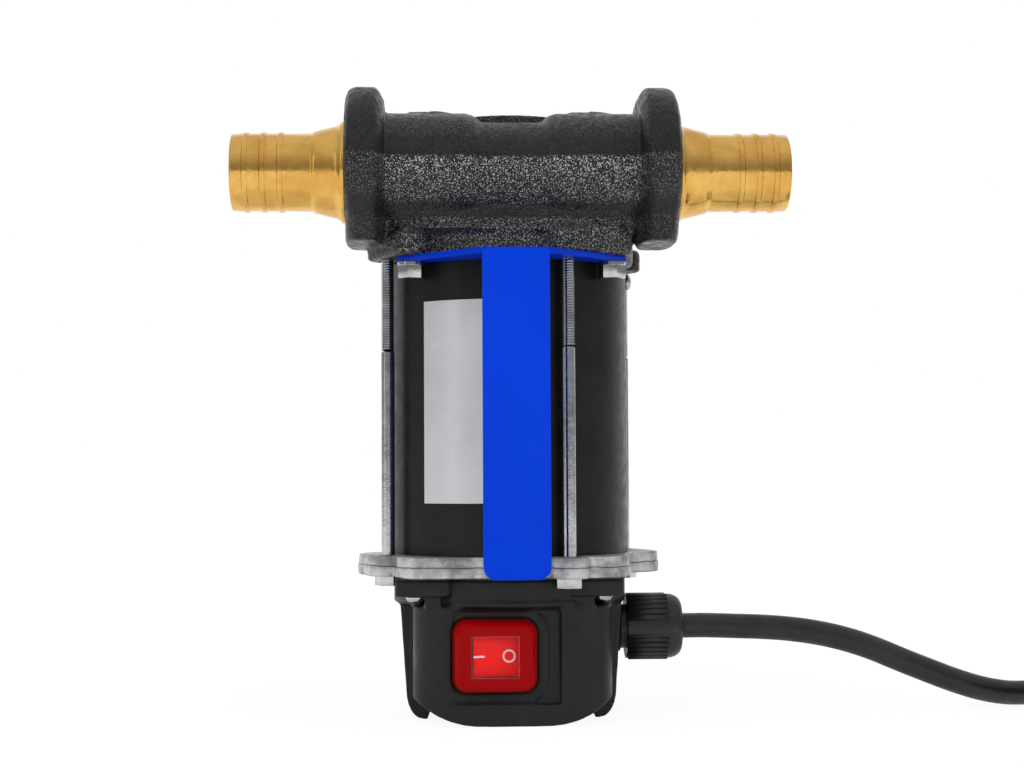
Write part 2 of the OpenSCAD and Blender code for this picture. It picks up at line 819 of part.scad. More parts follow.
module end_flange() {
    hub_z = flange_z + bearing_web;
    color([0.62, 0.62, 0.6]) difference() {
        union() {
            translate([0, 0, flange_z]) linear_extrude(flange_t) flange_plan();
            translate([0, 0, tube_z]) cylinder(d = 2 * (tube_inner_r - fit), h = spigot_h);
            translate([0, 0, flange_z])
                cylinder(d = low_bearing_od + 2 * hub_wall, h = bearing_web + low_bearing_h);
            for (k = [0:2]) at_angle(120 * k, lead_hole_r + post_d) translate([0, 0, flange_z])
                cylinder(d = post_d, h = brush_plate_z - flange_z);
        }
        translate([0, 0, tube_z]) difference() {
            cylinder(r = tube_inner_r - fit - spigot_wall, h = spigot_h + cut);
            translate([0, 0, -cut]) cylinder(d = low_bearing_od + 2 * hub_wall, h = spigot_h + 3 * cut);
            for (k = [0:2]) at_angle(120 * k, lead_hole_r + post_d) translate([0, 0, -cut])
                cylinder(d = post_d, h = spigot_h + 3 * cut);
        }
        translate([0, 0, hub_z]) cylinder(d = low_bearing_od + 2 * fit, h = low_bearing_h + cut);
        for (a = tie_angles) at_angle(a, tie_r) translate([0, 0, flange_z - cut])
            cylinder(d = bolt_clear_d, h = flange_t + 2 * cut);
        for (k = [0:1]) at_angle(60 + 180 * k, lead_hole_r - lead_hole_d / 2)
            translate([0, 0, flange_z - cut]) cylinder(d = lead_hole_d, h = flange_t + 2 * cut);
        at_corners() translate([0, 0, flange_z - cut])
            cylinder(d = screw_hole_d, h = flange_t - bearing_web + cut);
    }
}

// Where the two ball bearings sit: height, bore, outside diameter and width
bearings = [[flange_z + bearing_web, journal_d, low_bearing_od, low_bearing_h],
    [head_z, shaft_d, top_bearing_od, top_bearing_h]];

module bearing_outer_rings() {
    color([0.75, 0.75, 0.75]) for (b = bearings) translate([0, 0, b[0]])
        ring(b[2], b[2] - 2 * bearing_ring_t, b[3]);
}

module bearing_inner_rings() {
    color([0.75, 0.75, 0.75]) for (b = bearings) translate([0, 0, b[0]])
        ring(b[1] + 2 * fit + 2 * bearing_ring_t, b[1] + 2 * fit, b[3]);
}

module bearing_balls() {
    color([0.85, 0.85, 0.85]) for (b = bearings) let (
        inner = b[1] / 2 + fit + bearing_ring_t, outer = b[2] / 2 - bearing_ring_t)
        for (k = [0:balls - 1]) rotate([0, 0, 360 * k / balls])
            translate([(inner + outer) / 2, 0, b[0] + b[3] / 2]) sphere(d = (outer - inner) * ball_share);
}

module motor_tube() {
    color([0.08, 0.08, 0.08]) difference() {
        translate([0, 0, tube_z]) ring(tube_od, 2 * tube_inner_r, tube_h);
        translate([0, 0, side_screw_z]) along_x(screw_hole_d, -tube_od, tube_od);
    }
}

module field_magnets() {
    color([0.25, 0.25, 0.25]) for (k = [0, 1]) rotate([0, 0, 180 * k]) translate([0, 0, magnet_z])
        rotate_extrude(angle = magnet_arc) translate([magnet_inner_r, 0]) square([magnet_t, magnet_h]);
}

module core_slots_plan(d, mouth) {
    for (k = [0:core_slots - 1]) rotate(360 * k / core_slots) {
        translate([core_r * slot_r_share, 0]) circle(d = d);
        if (mouth > 0) translate([core_r * slot_r_share, -mouth / 2]) square([core_r, mouth]);
    }
}

module armature_core() {
    color([0.4, 0.4, 0.42]) translate([0, 0, core_z]) linear_extrude(core_h) difference() {
        circle(r = core_r);
        core_slots_plan(slot_d, slot_mouth);
        circle(d = shaft_d + 2 * fit);
    }
}

module armature_windings() {
    r = core_r * winding_r_share;
    hub = shaft_d / 2 + 4 * fit;
    color([0.7, 0.35, 0.15]) {
        translate([0, 0, core_z - fit]) linear_extrude(core_h + 2 * fit) core_slots_plan(slot_d - 2 * loose, 0);
        for (z = [core_z - winding_h, core_z + core_h]) translate([0, 0, z]) rotate_extrude()
            round_rect(hub, r, 0, winding_h, winding_corner);
    }
}

module commutator() {
    color([0.75, 0.45, 0.2]) translate([0, 0, commutator_z]) linear_extrude(commutator_h) difference() {
        circle(r = commutator_r);
        circle(d = shaft_d + 2 * fit);
        for (k = [0:segments - 1]) rotate(360 * k / segments)
            translate([commutator_r - 2 * segment_cut, -segment_cut / 2]) square([commutator_r, segment_cut]);
    }
}

// The shaft with its journals and the keyed end in the pump
module motor_shaft() {
    bottom = flange_z + bearing_web + fit;
    top = cover_z - run_gap;
    color([0.7, 0.7, 0.72]) {
        translate([0, 0, bottom]) cylinder(d = journal_d, h = low_bearing_h + run_gap);
        translate([0, 0, bottom + low_bearing_h + run_gap])
            cylinder(d = shaft_d, h = chamber_bottom - bottom - low_bearing_h - run_gap);
        translate([0, 0, chamber_bottom]) cylinder(d = journal_d, h = top - chamber_bottom);
        translate([journal_d / 2 - key_w / 2, -key_w / 2, chamber_bottom + 2 * key_w])
            cube([key_w, key_w, chamber_h - 4 * key_w]);
    }
}

// The insulating plate with its two brush boxes
module brush_holder() {
    x0 = commutator_r + brush_box_gap;
    color([0.45, 0.3, 0.15]) difference() {
        union() {
            translate([0, 0, brush_plate_z])
                ring(2 * (tube_inner_r - spigot_wall - brush_plate_gap), commutator_d + 2 * brush_box_gap,
                    brush_plate_t);
            for (k = [0, 1]) rotate([0, 0, 180 * k])
                translate([x0, -brush_w / 2 - brush_wall, brush_plate_z])
                    cube([brush_box_l, brush_w + 2 * brush_wall, brush_plate_t + brush_h + 2 * brush_wall + loose]);
        }
        for (k = [0, 1]) rotate([0, 0, 180 * k]) translate([x0 - cut, -brush_w / 2 - fit, brush_z - fit])
            cube([brush_box_l - brush_wall + cut, brush_w + 2 * fit, brush_h + 2 * fit]);
    }
}

module brushes() {
    color([0.15, 0.15, 0.15]) for (k = [0, 1]) rotate([0, 0, 180 * k]) difference() {
        translate([0, -brush_w / 2, brush_z]) cube([commutator_r + brush_l, brush_w, brush_h]);
        translate([0, 0, brush_z - cut]) cylinder(r = commutator_r + fit, h = brush_h + 2 * cut);
    }
}

module brush_springs() {
    x0 = commutator_r + brush_l + loose;
    room = commutator_r + brush_box_gap + brush_box_l - brush_wall - loose - x0;
    color([0.8, 0.8, 0.8]) for (k = [0, 1]) rotate([0, 0, 180 * k])
        translate([x0, 0, brush_z + brush_h / 2]) rotate([0, 90, 0])
            spring((brush_spring_d - brush_spring_wire) / 2, room, brush_spring_turns, brush_spring_wire);
}

module nameplate() {
    color([0.75, 0.75, 0.75]) translate([0, 0, tube_z + nameplate_z]) rotate([0, 0, nameplate_from - 90])
        rotate_extrude(angle = nameplate_to - nameplate_from) translate([tube_r + fit, 0])
            square([plate_t, nameplate_h]);
}

module side_screws() {
    color([0.8, 0.8, 0.8]) for (k = [0, 1]) rotate([0, 0, 180 * k]) translate([tube_r, 0, side_screw_z])
        rotate([0, -90, 0]) pan_screw(tube_wall + spigot_wall - fit);
}

module tie_bolts() {
    shank = flange_t + tube_h + foot_t - bolt_tip_gap;
    color([0.78, 0.78, 0.78]) for (a = tie_angles) at_angle(a, tie_r) translate([0, 0, flange_z]) {
        translate([0, 0, -bolt_head_h]) hexagon(bolt_af, bolt_head_h);
        cylinder(d = bolt_d, h = shank);
    }
}

// The outline of a port flange, turned about the port axis from its inner to its outer face
function port_flange_outline() = [
    [0, 0], [port_flange_d / 2 - flange_lip - flange_rim_in, 0],
    [port_flange_d / 2 - flange_lip / 3, flange_rim_in],
    [port_flange_d / 2, flange_rim_in + flange_lip / 2],
    [port_flange_d / 2, port_flange_t - flange_lip - flange_rim_in / 2],
    [port_flange_d / 2 - flange_lip / 3, port_flange_t - flange_lip / 2],
    [port_flange_d / 2 - flange_lip * 1.5, port_flange_t], [0, port_flange_t]];

// Puts a piece on the right (side 1) or left (side -1) port, with z along the port axis
module at_port(side) {
    translate([0, -port_offset, port_z]) rotate([0, 90 * side, 0]) children();
}

// Seen from above, the foot with its bolt lobes, which run into each other in front
module foot_plan() {
    circle(r = foot_r);
    for (k = [0:3]) rotate(tie_angles[k]) translate([0, -tie_r]) circle(r = lobe_r);
    for (k = [0, 1]) hull() {
        rotate(tie_angles[k]) translate([0, -tie_r]) circle(r = lobe_r);
        rotate((1 - 2 * k) * handle_bolt_angle) translate([0, -handle_bolt_r]) circle(r = lobe_r);
    }
}

// The web between the foot and the barrels, seen along the port axis
function saddle_outline() = concat([[0, -fit], [-saddle_foot_y, -fit]],
    [for (k = [0:len(saddle_in_shares) - 1]) [
        -saddle_foot_y + saddle_in_shares[k] * (saddle_foot_y - saddle_top_y),
        saddle_rise_shares[k] * saddle_h]],
    [[0, saddle_h]]);

// A barrel about the port axis, with its cone towards the waist
function barrel_outline() = [[0, waist_w / 2], [waist_d / 2 - fit, waist_w / 2],
    [barrel_r - barrel_cone / 4, waist_w / 2 + barrel_cone * 3 / 4], [barrel_r, waist_w / 2 + barrel_cone * 3 / 2],
    [barrel_r, port_face - port_flange_t / 2], [0, port_face - port_flange_t / 2]];

module flow_arrow() {
    polygon([[-arrow_l / 2, -arrow_w / 6], [0, -arrow_w / 6], [0, -arrow_w / 2], [arrow_l / 2, 0],
        [0, arrow_w / 2], [0, arrow_w / 6], [-arrow_l / 2, arrow_w / 6]]);
}

module head_casting() {
    translate([0, 0, head_z]) linear_extrude(foot_t) foot_plan();
    translate([0, 0, head_z - head_spigot_h]) cylinder(r = tube_inner_r - fit, h = head_spigot_h + cut);
    translate([0, 0, head_z + foot_t - fit]) cylinder(r1 = foot_r - lobe_r / 2, r2 = neck_r, h = foot_t);
    translate([0, eccentricity, head_z + foot_t]) cylinder(r = neck_r, h = cover_rise - foot_t);
    translate([-saddle_w / 2, 0, head_z + foot_t]) rotate([90, 0, 90]) linear_extrude(saddle_w)
        polygon(saddle_outline());
    for (s = [-1, 1]) {
        at_port(s) rotate_extrude() polygon(barrel_outline());
        difference() {
            at_port(s) translate([0, 0, port_face - port_flange_t]) rotate_extrude($fn = 72)
                polygon(port_flange_outline());
            translate([s * (port_face - port_flange_t / 2) - port_flange_t, -port_offset - port_flange_d / 2,
                port_z - port_flange_d])
                cube([2 * port_flange_t, port_flange_d, port_flange_d - port_flat]);
        }
        translate([s * arrow_x, -port_offset, port_z + barrel_r - arrow_sink])
            linear_extrude(arrow_sink + arrow_rise) flow_arrow();
    }
    at_port(1) translate([0, 0, -waist_w / 2 - cut]) cylinder(d = waist_d, h = waist_w + 2 * cut);
}

module pump_body() {
    spigot_in = tube_inner_r - fit - spigot_wall;
    color([0.06, 0.06, 0.06]) difference() {
        head_casting();
        translate([0, 0, head_z - head_spigot_h - cut]) cylinder(r = spigot_in, h = head_spigot_h + cut);
        translate([0, 0, head_z - cut]) cylinder(d = top_bearing_od + 2 * fit, h = top_bearing_h + cut);
        translate([0, 0, head_z]) cylinder(d = seal_od + 2 * fit, h = top_bearing_h + seal_h + loose);
        translate([0, 0, head_z]) cylinder(d = shaft_d + 2 * run_gap, h = cover_rise);
        translate([0, eccentricity, chamber_bottom]) cylinder(d = chamber_d, h = chamber_h + cut);
        translate([0, eccentricity, cover_z]) cylinder(d = cover_d + 2 * cover_spot, h = port_flange_d);
        for (s = [-1, 1]) {
            at_port(s) translate([0, 0, port_face - port_depth]) cylinder(d = port_bore, h = port_depth + cut);
            at_port(s) translate([0, 0, port_face - thread_h])
                cylinder(d = port_thread_d + 2 * fit, h = thread_h + cut);
            translate([s * (port_face - port_depth + window_w / 2) - window_w / 2, -port_offset,
                chamber_bottom + window_rise]) cube([window_w, port_offset - chamber_d / 4, window_h]);
        }
        relief_bore();
        for (a = tie_angles) at_angle(a, tie_r) translate([0, 0, head_z - cut])
            cylinder(d = bolt_hole_d, h = foot_t - bolt_tip_gap + cut + loose);
        for (s = [-1, 1]) at_angle(s * handle_bolt_angle, handle_bolt_r) translate([0, 0, head_z - cut])
            cylinder(d = bolt_hole_d, h = foot_t - bolt_tip_gap + cut + loose);
        for (k = [0:cover_screws_n - 1]) at_cover_screw(k) translate([0, 0, cover_z - cover_hole_h])
            cylinder(d = screw_hole_d, h = cover_hole_h + cut);
        translate([0, 0, side_screw_z]) along_x(screw_hole_d, -tube_od, -spigot_in + cut);
        translate([0, 0, side_screw_z]) along_x(screw_hole_d, spigot_in - cut, tube_od);
    }
}

// The bore of the relief valve, its seat and the two short passages to the ports
module relief_bore() {
    translate([0, relief_y, relief_seat_z]) cylinder(d = relief_d, h = port_flange_d);
    translate([0, relief_y, relief_low_z]) cylinder(d = relief_seat_d, h = relief_seat_z - relief_low_z + cut);
    translate([0, relief_y - relief_window_h / 2, relief_low_z])
        cube([port_face - port_depth + cut, relief_window_h, relief_low_h]);
    translate([-(port_face - port_depth) - cut, relief_y - relief_window_h / 2, relief_seat_z + relief_window_h])
        cube([port_face - port_depth + cut, relief_window_h, relief_window_h]);
}

module at_cover_screw(k) {
    translate([0, eccentricity, 0]) rotate([0, 0, 360 * (k + 0.5) / cover_screws_n])
        translate([0, -cover_screw_r, 0]) children();
}

module shaft_seal() {
    color([0.15, 0.15, 0.15]) translate([0, 0, head_z + top_bearing_h + fit]) difference() {
        cylinder(d = seal_od, h = seal_h);
        translate([0, 0, -cut]) cylinder(d = seal_od - 2 * bearing_ring_t, h = seal_h - seal_lip + cut);
        translate([0, 0, -cut]) cylinder(d = shaft_d + 2 * fit, h = seal_h + 2 * cut);
    }
}

module pump_rotor() {
    color([0.5, 0.5, 0.52]) translate([0, 0, chamber_bottom + fit]) difference() {
        cylinder(d = rotor_d, h = chamber_h - 2 * fit);
        translate([0, 0, -cut]) cylinder(d = journal_d + 2 * fit, h = chamber_h + 2 * cut);
        translate([0, -key_w / 2 - fit, -cut])
            cube([journal_d / 2 + key_w / 2 + loose, key_w + 2 * fit, chamber_h + 2 * cut]);
        for (k = [0:vane_count - 1]) rotate([0, 0, 360 * (k + 0.5) / vane_count])
            translate([rotor_d / 2 - vane_depth - loose, -vane_t / 2 - fit, -cut])
                cube([rotor_d, vane_t + 2 * fit, chamber_h + 2 * cut]);
    }
}

module vanes() {
    color([0.3, 0.25, 0.2]) translate([0, 0, chamber_bottom + 2 * fit])
        for (k = [0:vane_count - 1]) rotate([0, 0, 360 * (k + 0.5) / vane_count]) intersection() {
            translate([rotor_d / 2 - vane_depth, -vane_t / 2, 0]) cube([vane_depth, vane_t, chamber_h - 4 * fit]);
            cylinder(d = rotor_d, h = chamber_h);
        }
}

module cover_seal() {
    color([0.1, 0.1, 0.1]) difference() {
        translate([0, eccentricity, cover_z]) ring(cover_d, chamber_d, seal_t);
        for (k = [0:cover_screws_n - 1]) at_cover_screw(k) translate([0, 0, cover_z - cut])
            cylinder(d = screw_hole_d, h = seal_t + 2 * cut);
    }
}

module pump_cover() {
    z = cover_z + seal_t;
    color([0.07, 0.07, 0.07]) difference() {
        translate([0, eccentricity, z]) {
            cylinder(d = cover_d, h = cover_rim_t);
            cylinder(d1 = cover_hub_d, d2 = cover_hub_d - 2 * cover_spot, h = cover_t);
        }
        for (k = [0:cover_screws_n - 1]) at_cover_screw(k) {
            translate([0, 0, z - cut]) cylinder(d = screw_hole_d, h = cover_t + 2 * cut);
            translate([0, 0, z + cover_rim_t - screw_head_h]) cylinder(d = screw_head_d + 2 * loose, h = cover_t);
        }
    }
}

module cover_screws() {
    z = cover_z + seal_t + cover_rim_t - screw_head_h;
    color([0.3, 0.3, 0.3]) for (k = [0:cover_screws_n - 1]) at_cover_screw(k)
        translate([0, 0, z]) mirror([0, 0, 1]) pan_screw(cover_hole_h + cover_rim_t - screw_head_h - loose);
}

module relief_poppet() {
    color([0.8, 0.65, 0.3]) translate([0, relief_y, relief_seat_z + fit]) {
        cylinder(d = relief_d - 2 * fit, h = poppet_disc_h);
        cylinder(d = poppet_stem_d, h = poppet_h);
    }
}

module relief_spring() {
    z = relief_seat_z + 2 * fit + poppet_disc_h;
    color([0.8, 0.8, 0.8]) translate([0, relief_y, z])
        spring(relief_d / 2 - relief_wire, relief_top_z - relief_plug_h - fit - z, relief_turns, relief_wire);
}

module relief_plug() {
    color([0.1, 0.1, 0.1]) translate([0, relief_y, relief_top_z - relief_plug_h]) difference() {
        cylinder(d = relief_d - 2 * fit, h = relief_plug_h);
        translate([0, 0, relief_plug_h / 2]) hexagon(relief_d / 2, relief_plug_h);
    }
}

// The outline of a hose barb, with z = 0 on the port flange and the tip at the far end
function barb_outline() = concat(
    [[barb_bore / 2, -thread_h + fit], [port_thread_d / 2, -thread_h + fit], [port_thread_d / 2, seal_washer_t],
        [barb_collar_d / 2, seal_washer_t], [barb_collar_d / 2, seal_washer_t + collar_h],
        [cone_top_d / 2, seal_washer_t + collar_h + cone_h],
        [cone_top_d / 2 - fit, seal_washer_t + collar_h + cone_h + wrench_h],
        [barb_neck_d / 2, seal_washer_t + collar_h + cone_h + wrench_h + barb_step]],
    [for (k = [0:barb_crests - 1]) let (z = barb_h - (barb_crests - k) * barb_pitch) each [
        [barb_neck_d / 2, z], [barb_d / 2, z], [barb_d / 2, z + land_h], [barb_neck_d / 2, z + barb_pitch]]],
    [[barb_bore / 2, barb_h]]);

module barb(side) {
    color([0.8, 0.6, 0.2]) at_port(side) translate([0, 0, port_face]) {
        rotate_extrude($fn = 72) polygon(barb_outline());
        difference() {
            translate([0, 0, seal_washer_t + collar_h]) hexagon(barb_af, cone_h / 2 + wrench_h);
            cylinder(d = cone_top_d - cut, h = barb_h);
            translate([0, 0, seal_washer_t + collar_h]) difference() {
                cylinder(d = 2 * barb_af, h = barb_h);
                translate([0, 0, -cut]) cylinder(d = barb_collar_d - cut, h = barb_h + 2 * cut);
            }
        }
    }
}

module inlet_barb() {
    barb(-1);
}

module outlet_barb() {
    barb(1);
}

module barb_seals() {
    color([0.1, 0.1, 0.1]) for (s = [-1, 1]) at_port(s) translate([0, 0, port_face])
        ring(barb_collar_d, port_thread_d + 2 * fit, seal_washer_t);
}

// The handle's plate, seen from above
module plate_plan() {
    difference() {
        polygon([[-grip_w / 2, -grip_reach + bend_r], [grip_w / 2, -grip_reach + bend_r], [plate_w / 2, -plate_end],
            [plate_w / 2, -tube_r / 2], [-plate_w / 2, -tube_r / 2], [-plate_w / 2, -plate_end]]);
        circle(r = tube_r + plate_relief);
        for (a = [tie_right_angle, tie_left_angle]) rotate(a) translate([0, -tie_r]) circle(d = bolt_clear_d);
        for (s = [-1, 1]) rotate(s * handle_bolt_angle) translate([0, -handle_bolt_r]) circle(d = bolt_clear_d);
    }
}

module handle() {
    color([0.0, 0.16, 0.75]) {
        translate([0, 0, handle_z]) linear_extrude(handle_t) plate_plan();
        translate([-grip_w / 2, -grip_reach + bend_r, head_z - bend_r]) rotate([90, 0, 90]) difference() {
            intersection() {
                cylinder(r = bend_r, h = grip_w);
                translate([-bend_r, 0, 0]) cube([bend_r, bend_r, grip_w]);
            }
            translate([0, 0, -cut]) cylinder(r = bend_r - handle_t, h = grip_w + 2 * cut);
        }
        translate([0, -grip_reach + handle_t, 0]) rotate([90, 0, 0]) linear_extrude(handle_t) {
            translate([-grip_w / 2, head_z - grip_h + grip_corner_r])
                square([grip_w, grip_h - grip_corner_r - bend_r]);
            round_rect(-grip_w / 2, grip_w / 2, head_z - grip_h, head_z - grip_h + grip_w, grip_corner_r);
        }
    }
}

module handle_bolts() {
    z = handle_z - washer_t;
    color([0.8, 0.8, 0.8]) for (s = [-1, 1]) at_angle(s * handle_bolt_angle, handle_bolt_r) {
        translate([0, 0, z - handle_bolt_head_h]) hexagon(bolt_af, handle_bolt_head_h);
        translate([0, 0, z]) cylinder(d = bolt_d, h = washer_t + handle_t + foot_t - bolt_tip_gap);
    }
}

module handle_washers() {
    color([0.8, 0.8, 0.8]) for (s = [-1, 1]) at_angle(s * handle_bolt_angle, handle_bolt_r)
        translate([0, 0, handle_z - washer_t]) ring(washer_d, bolt_hole_d, washer_t);
}

module cable() {
    color([0.05, 0.05, 0.05]) sweep(cable_route, cable_d, 8);
}

// The coil's radius and height after t turns: in, up a layer while it turns back, and out again
function coil_r(t) = coil_outer_r - coil_step * (coil_turns / 2 - abs(t - coil_turns / 2));
function coil_h(t) = coil_z + coil_layer * (t < coil_turns / 2 - 0.25 ? 0 : t > coil_turns / 2 + 0.25 ? 1
    : (1 - cos(360 * (t - coil_turns / 2 + 0.25))) / 2);
function coil_point(t) = [coil_at[0] + coil_r(t) * sin(360 * t), coil_at[1] + coil_r(t) * cos(360 * t), coil_h(t)];
coil_path = concat([[coil_at[0] - cable_d, coil_at[1] + coil_outer_r, coil_z]],
    [for (k = [0:coil_turns * coil_rings]) coil_point(k / coil_rings)], tail_route);

module cable_coil() {
    color([0.05, 0.05, 0.05]) sweep(coil_path, cable_d, coil_sides);
}

// Two ties round the bundle, on its left and right
module cable_ties() {
    inner = coil_outer_r - coil_step * coil_turns / 2 - cable_d / 2 - tie_t;
    outer = coil_outer_r + cable_d / 2 + tie_t;
    top = coil_z + coil_layer + cable_d / 2 + tie_t;
    color([0.85, 0.85, 0.85]) for (s = [0, 1]) translate([coil_at[0], coil_at[1], 0]) rotate([0, 0, 180 * s])
        translate([0, tie_w / 2, 0]) rotate([90, 0, 0]) linear_extrude(tie_w) difference() {
            round_rect(inner, outer, 0, top, tie_t);
            translate([inner + tie_t, tie_t]) square([outer - inner - 2 * tie_t, top - 2 * tie_t]);
        }
}

// The moulded boot where the cable parts into its two leads
module cable_boot() {
    color([0.06, 0.06, 0.06]) translate([boot_x, boot_y, boot_z]) difference() {
        hull() {
            rotate([0, 90, 0]) cylinder(d = 2 * boot_z, h = boot_l / 3, $fn = 24);
            for (s = [-1, 1]) translate([boot_l / 2, s * (black_route[0][1] - boot_y), black_route[0][2] - boot_z])
                rotate([0, 90, 0]) cylinder(d = lead_d + 3 * clamp_wire, h = boot_l / 2, $fn = 24);
        }
        translate([-cut, -boot_d, -boot_z - cut]) cube([boot_l + 2 * cut, 2 * boot_d, cut]);
    }
}

module lead_red() {
    color([0.75, 0.05, 0.05]) sweep(red_route, lead_d, 8);
}

module lead_black() {
    color([0.05, 0.05, 0.05]) sweep(black_route, lead_d, 8);
}

// Lays a clamp down with its jaws towards -X
module clamp_at(y) {
    translate([clamp_end_x, y, clamp_lift]) rotate([0, 0, 180]) children();
}

module at_clamps() {
    for (y = [red_clamp_y, black_clamp_y]) clamp_at(y) children();
}

// The bent strip of one jaw, seen from above, with its middle line on the side of +Y
module jaw_strip() {
    points = [[0, clamp_half], [grip_l, clamp_half * clamp_narrow_share], [clamp_pivot, clamp_waist],
        [clamp_pivot + clamp_nose * 2, clamp_waist + clamp_belly], [clamp_l, clamp_t / 2 + loose]];
    for (k = [0:len(points) - 2]) hull() {
        translate(points[k]) circle(d = clamp_t, $fn = 16);
        translate(points[k + 1]) circle(d = clamp_t, $fn = 16);
    }
}

// The ears that hang from the strip to the pin
module jaw_ear() {
    difference() {
        hull() {
            translate([clamp_pivot, 0]) circle(r = pin_ear_r, $fn = 24);
            translate([clamp_pivot - clamp_nose, clamp_waist - fit]) square([2 * clamp_nose, clamp_t / 2]);
        }
        translate([clamp_pivot, 0]) circle(d = pin_d + 4 * fit);
    }
}

// side 1 or -1; inset is how far its ears lie inside the sheet's edges
module jaw(side, inset) {
    mirror([0, side < 0 ? 1 : 0, 0]) {
        linear_extrude(clamp_h) jaw_strip();
        for (z = [inset, clamp_h - inset - ear_t]) translate([0, 0, z]) linear_extrude(ear_t) jaw_ear();
    }
}

module grip(side) {
    mirror([0, side < 0 ? 1 : 0, 0]) translate([0, 0, -clamp_lift]) difference() {
        linear_extrude(clamp_h + 2 * clamp_lift) hull() {
            translate([0, clamp_half]) circle(d = grip_t, $fn = 24);
            translate([grip_l - grip_t, clamp_half * clamp_narrow_share + loose]) circle(d = grip_t, $fn = 24);
        }
        translate([0, 0, clamp_lift - fit]) linear_extrude(clamp_h + 2 * fit) offset(delta = fit) jaw_strip();
    }
}

module clamp_jaws_fixed() {
    color([0.75, 0.75, 0.75]) at_clamps() jaw(-1, 0);
}

module clamp_pins() {
    color([0.7, 0.7, 0.7]) at_clamps() translate([clamp_pivot, 0, 0]) cylinder(d = pin_d, h = clamp_h);
}

module clamp_springs() {
    z = 2 * ear_t + 3 * run_gap;
    color([0.7, 0.7, 0.7]) at_clamps() translate([clamp_pivot, 0, z])
        spring(pin_d / 2 + clamp_wire / 2 + run_gap, clamp_h - 2 * z, clamp_turns, clamp_wire);
}

module grip_fixed_red() {
    color([0.75, 0.05, 0.05]) clamp_at(red_clamp_y) grip(-1);
}

module grip_fixed_black() {
    color([0.06, 0.06, 0.06]) clamp_at(black_clamp_y) grip(-1);
}

module jaw_moving_red() {
    color([0.75, 0.75, 0.75]) clamp_at(red_clamp_y) jaw(1, ear_t + run_gap);
}

module jaw_moving_black() {
    color([0.75, 0.75, 0.75]) clamp_at(black_clamp_y) jaw(1, ear_t + run_gap);
}

module grip_moving_red() {
    color([0.75, 0.05, 0.05]) clamp_at(red_clamp_y) grip(1);
}

module grip_moving_black() {
    color([0.06, 0.06, 0.06]) clamp_at(black_clamp_y) grip(1);
}

echo(least_gap_in_the_coil = least_gap(coil_path, cable_d, 8));

switch_box();
box_gasket();
box_screws();
switch_housing();
rocker();
switch_terminals();
switch_cap();
gland_body();
gland_locknut();
gland_insert();
gland_nut();
cable_inner();
end_flange();
bearing_outer_rings();
bearing_inner_rings();
bearing_balls();
motor_tube();
field_magnets();
armature_core();
armature_windings();
commutator();
motor_shaft();
brush_holder();
brushes();
brush_springs();
nameplate();
side_screws();
tie_bolts();
pump_body();
shaft_seal();
pump_rotor();
vanes();
cover_seal();
pump_cover();
cover_screws();
relief_poppet();
relief_spring();
relief_plug();
inlet_barb();
outlet_barb();
barb_seals();
handle();
handle_bolts();
handle_washers();
cable();
cable_coil();
cable_ties();
cable_boot();
lead_red();
lead_black();
clamp_jaws_fixed();
clamp_pins();
clamp_springs();
grip_fixed_red();
grip_fixed_black();
jaw_moving_red();
jaw_moving_black();
grip_moving_red();
grip_moving_black();
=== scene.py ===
"""Looks of an upright fuel transfer pump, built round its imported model."""

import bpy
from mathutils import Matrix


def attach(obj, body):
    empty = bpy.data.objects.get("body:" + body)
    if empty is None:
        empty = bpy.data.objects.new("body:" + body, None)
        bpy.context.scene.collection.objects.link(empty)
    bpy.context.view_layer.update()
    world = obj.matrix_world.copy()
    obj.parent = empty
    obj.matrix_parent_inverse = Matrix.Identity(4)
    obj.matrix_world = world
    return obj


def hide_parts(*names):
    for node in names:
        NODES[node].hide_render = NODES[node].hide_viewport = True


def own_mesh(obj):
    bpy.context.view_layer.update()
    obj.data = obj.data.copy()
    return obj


bl_info = {
    "name": "Fuel transfer pump",
    "version": (1, 0, 0),
    "blender": (4, 5, 0),
    "location": "View3D > Sidebar > Pump",
    "description": "Dresses the packed model of an upright fuel transfer pump",
    "category": "Object",
}

import math

import bmesh
import bpy
from bpy.props import FloatProperty, FloatVectorProperty, IntProperty, PointerProperty
from bpy.types import Operator, Panel, PropertyGroup
from mathutils import Matrix, Quaternion, Vector, noise

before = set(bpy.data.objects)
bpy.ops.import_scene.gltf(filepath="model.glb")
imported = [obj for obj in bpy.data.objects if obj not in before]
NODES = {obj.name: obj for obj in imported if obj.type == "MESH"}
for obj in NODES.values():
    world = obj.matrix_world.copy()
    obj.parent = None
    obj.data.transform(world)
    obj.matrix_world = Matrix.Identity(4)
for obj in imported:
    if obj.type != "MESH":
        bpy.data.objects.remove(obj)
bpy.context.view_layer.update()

MM = 0.001
SHARP = math.radians(32)

# Places and sizes on the pump, in millimetres
HEAD_Z, WAIST_R, WAIST_Z, WAIST_REACH = 195.4, 40.0, 212.0, 9.0
PORT_Y, PORT_Z, PORT_FACE = -33.0, 232.0, 69.5
BARB_END, CREST_PITCH, CRESTS = 48.0, 7.3, 3
FLANGE_Z, PARTING_Z, PARTING_STEP = 61.3, 65.8, 0.35
TIE_R, TIE_LENGTH, TIE_THREAD = 57.2, 141.5, 95.0
TIE_ANGLES = (23.3, -66.5, 203.3, 113.5)
BOLT_D, BOLT_FLATS, TIE_HEAD = 6.0, 10.0, 4.0
THREAD_ROOT, THREAD_CREST, THREAD_STEPS = 0.62, 0.02, 20
HANDLE_BOLT_R, HANDLE_BOLT_ANGLE, HANDLE_BOLT_DROP = 59.5, 45, 4.0
HANDLE_BOLT_LENGTH, HANDLE_THREAD, HANDLE_HEAD = 13.0, 4.0, 5.4
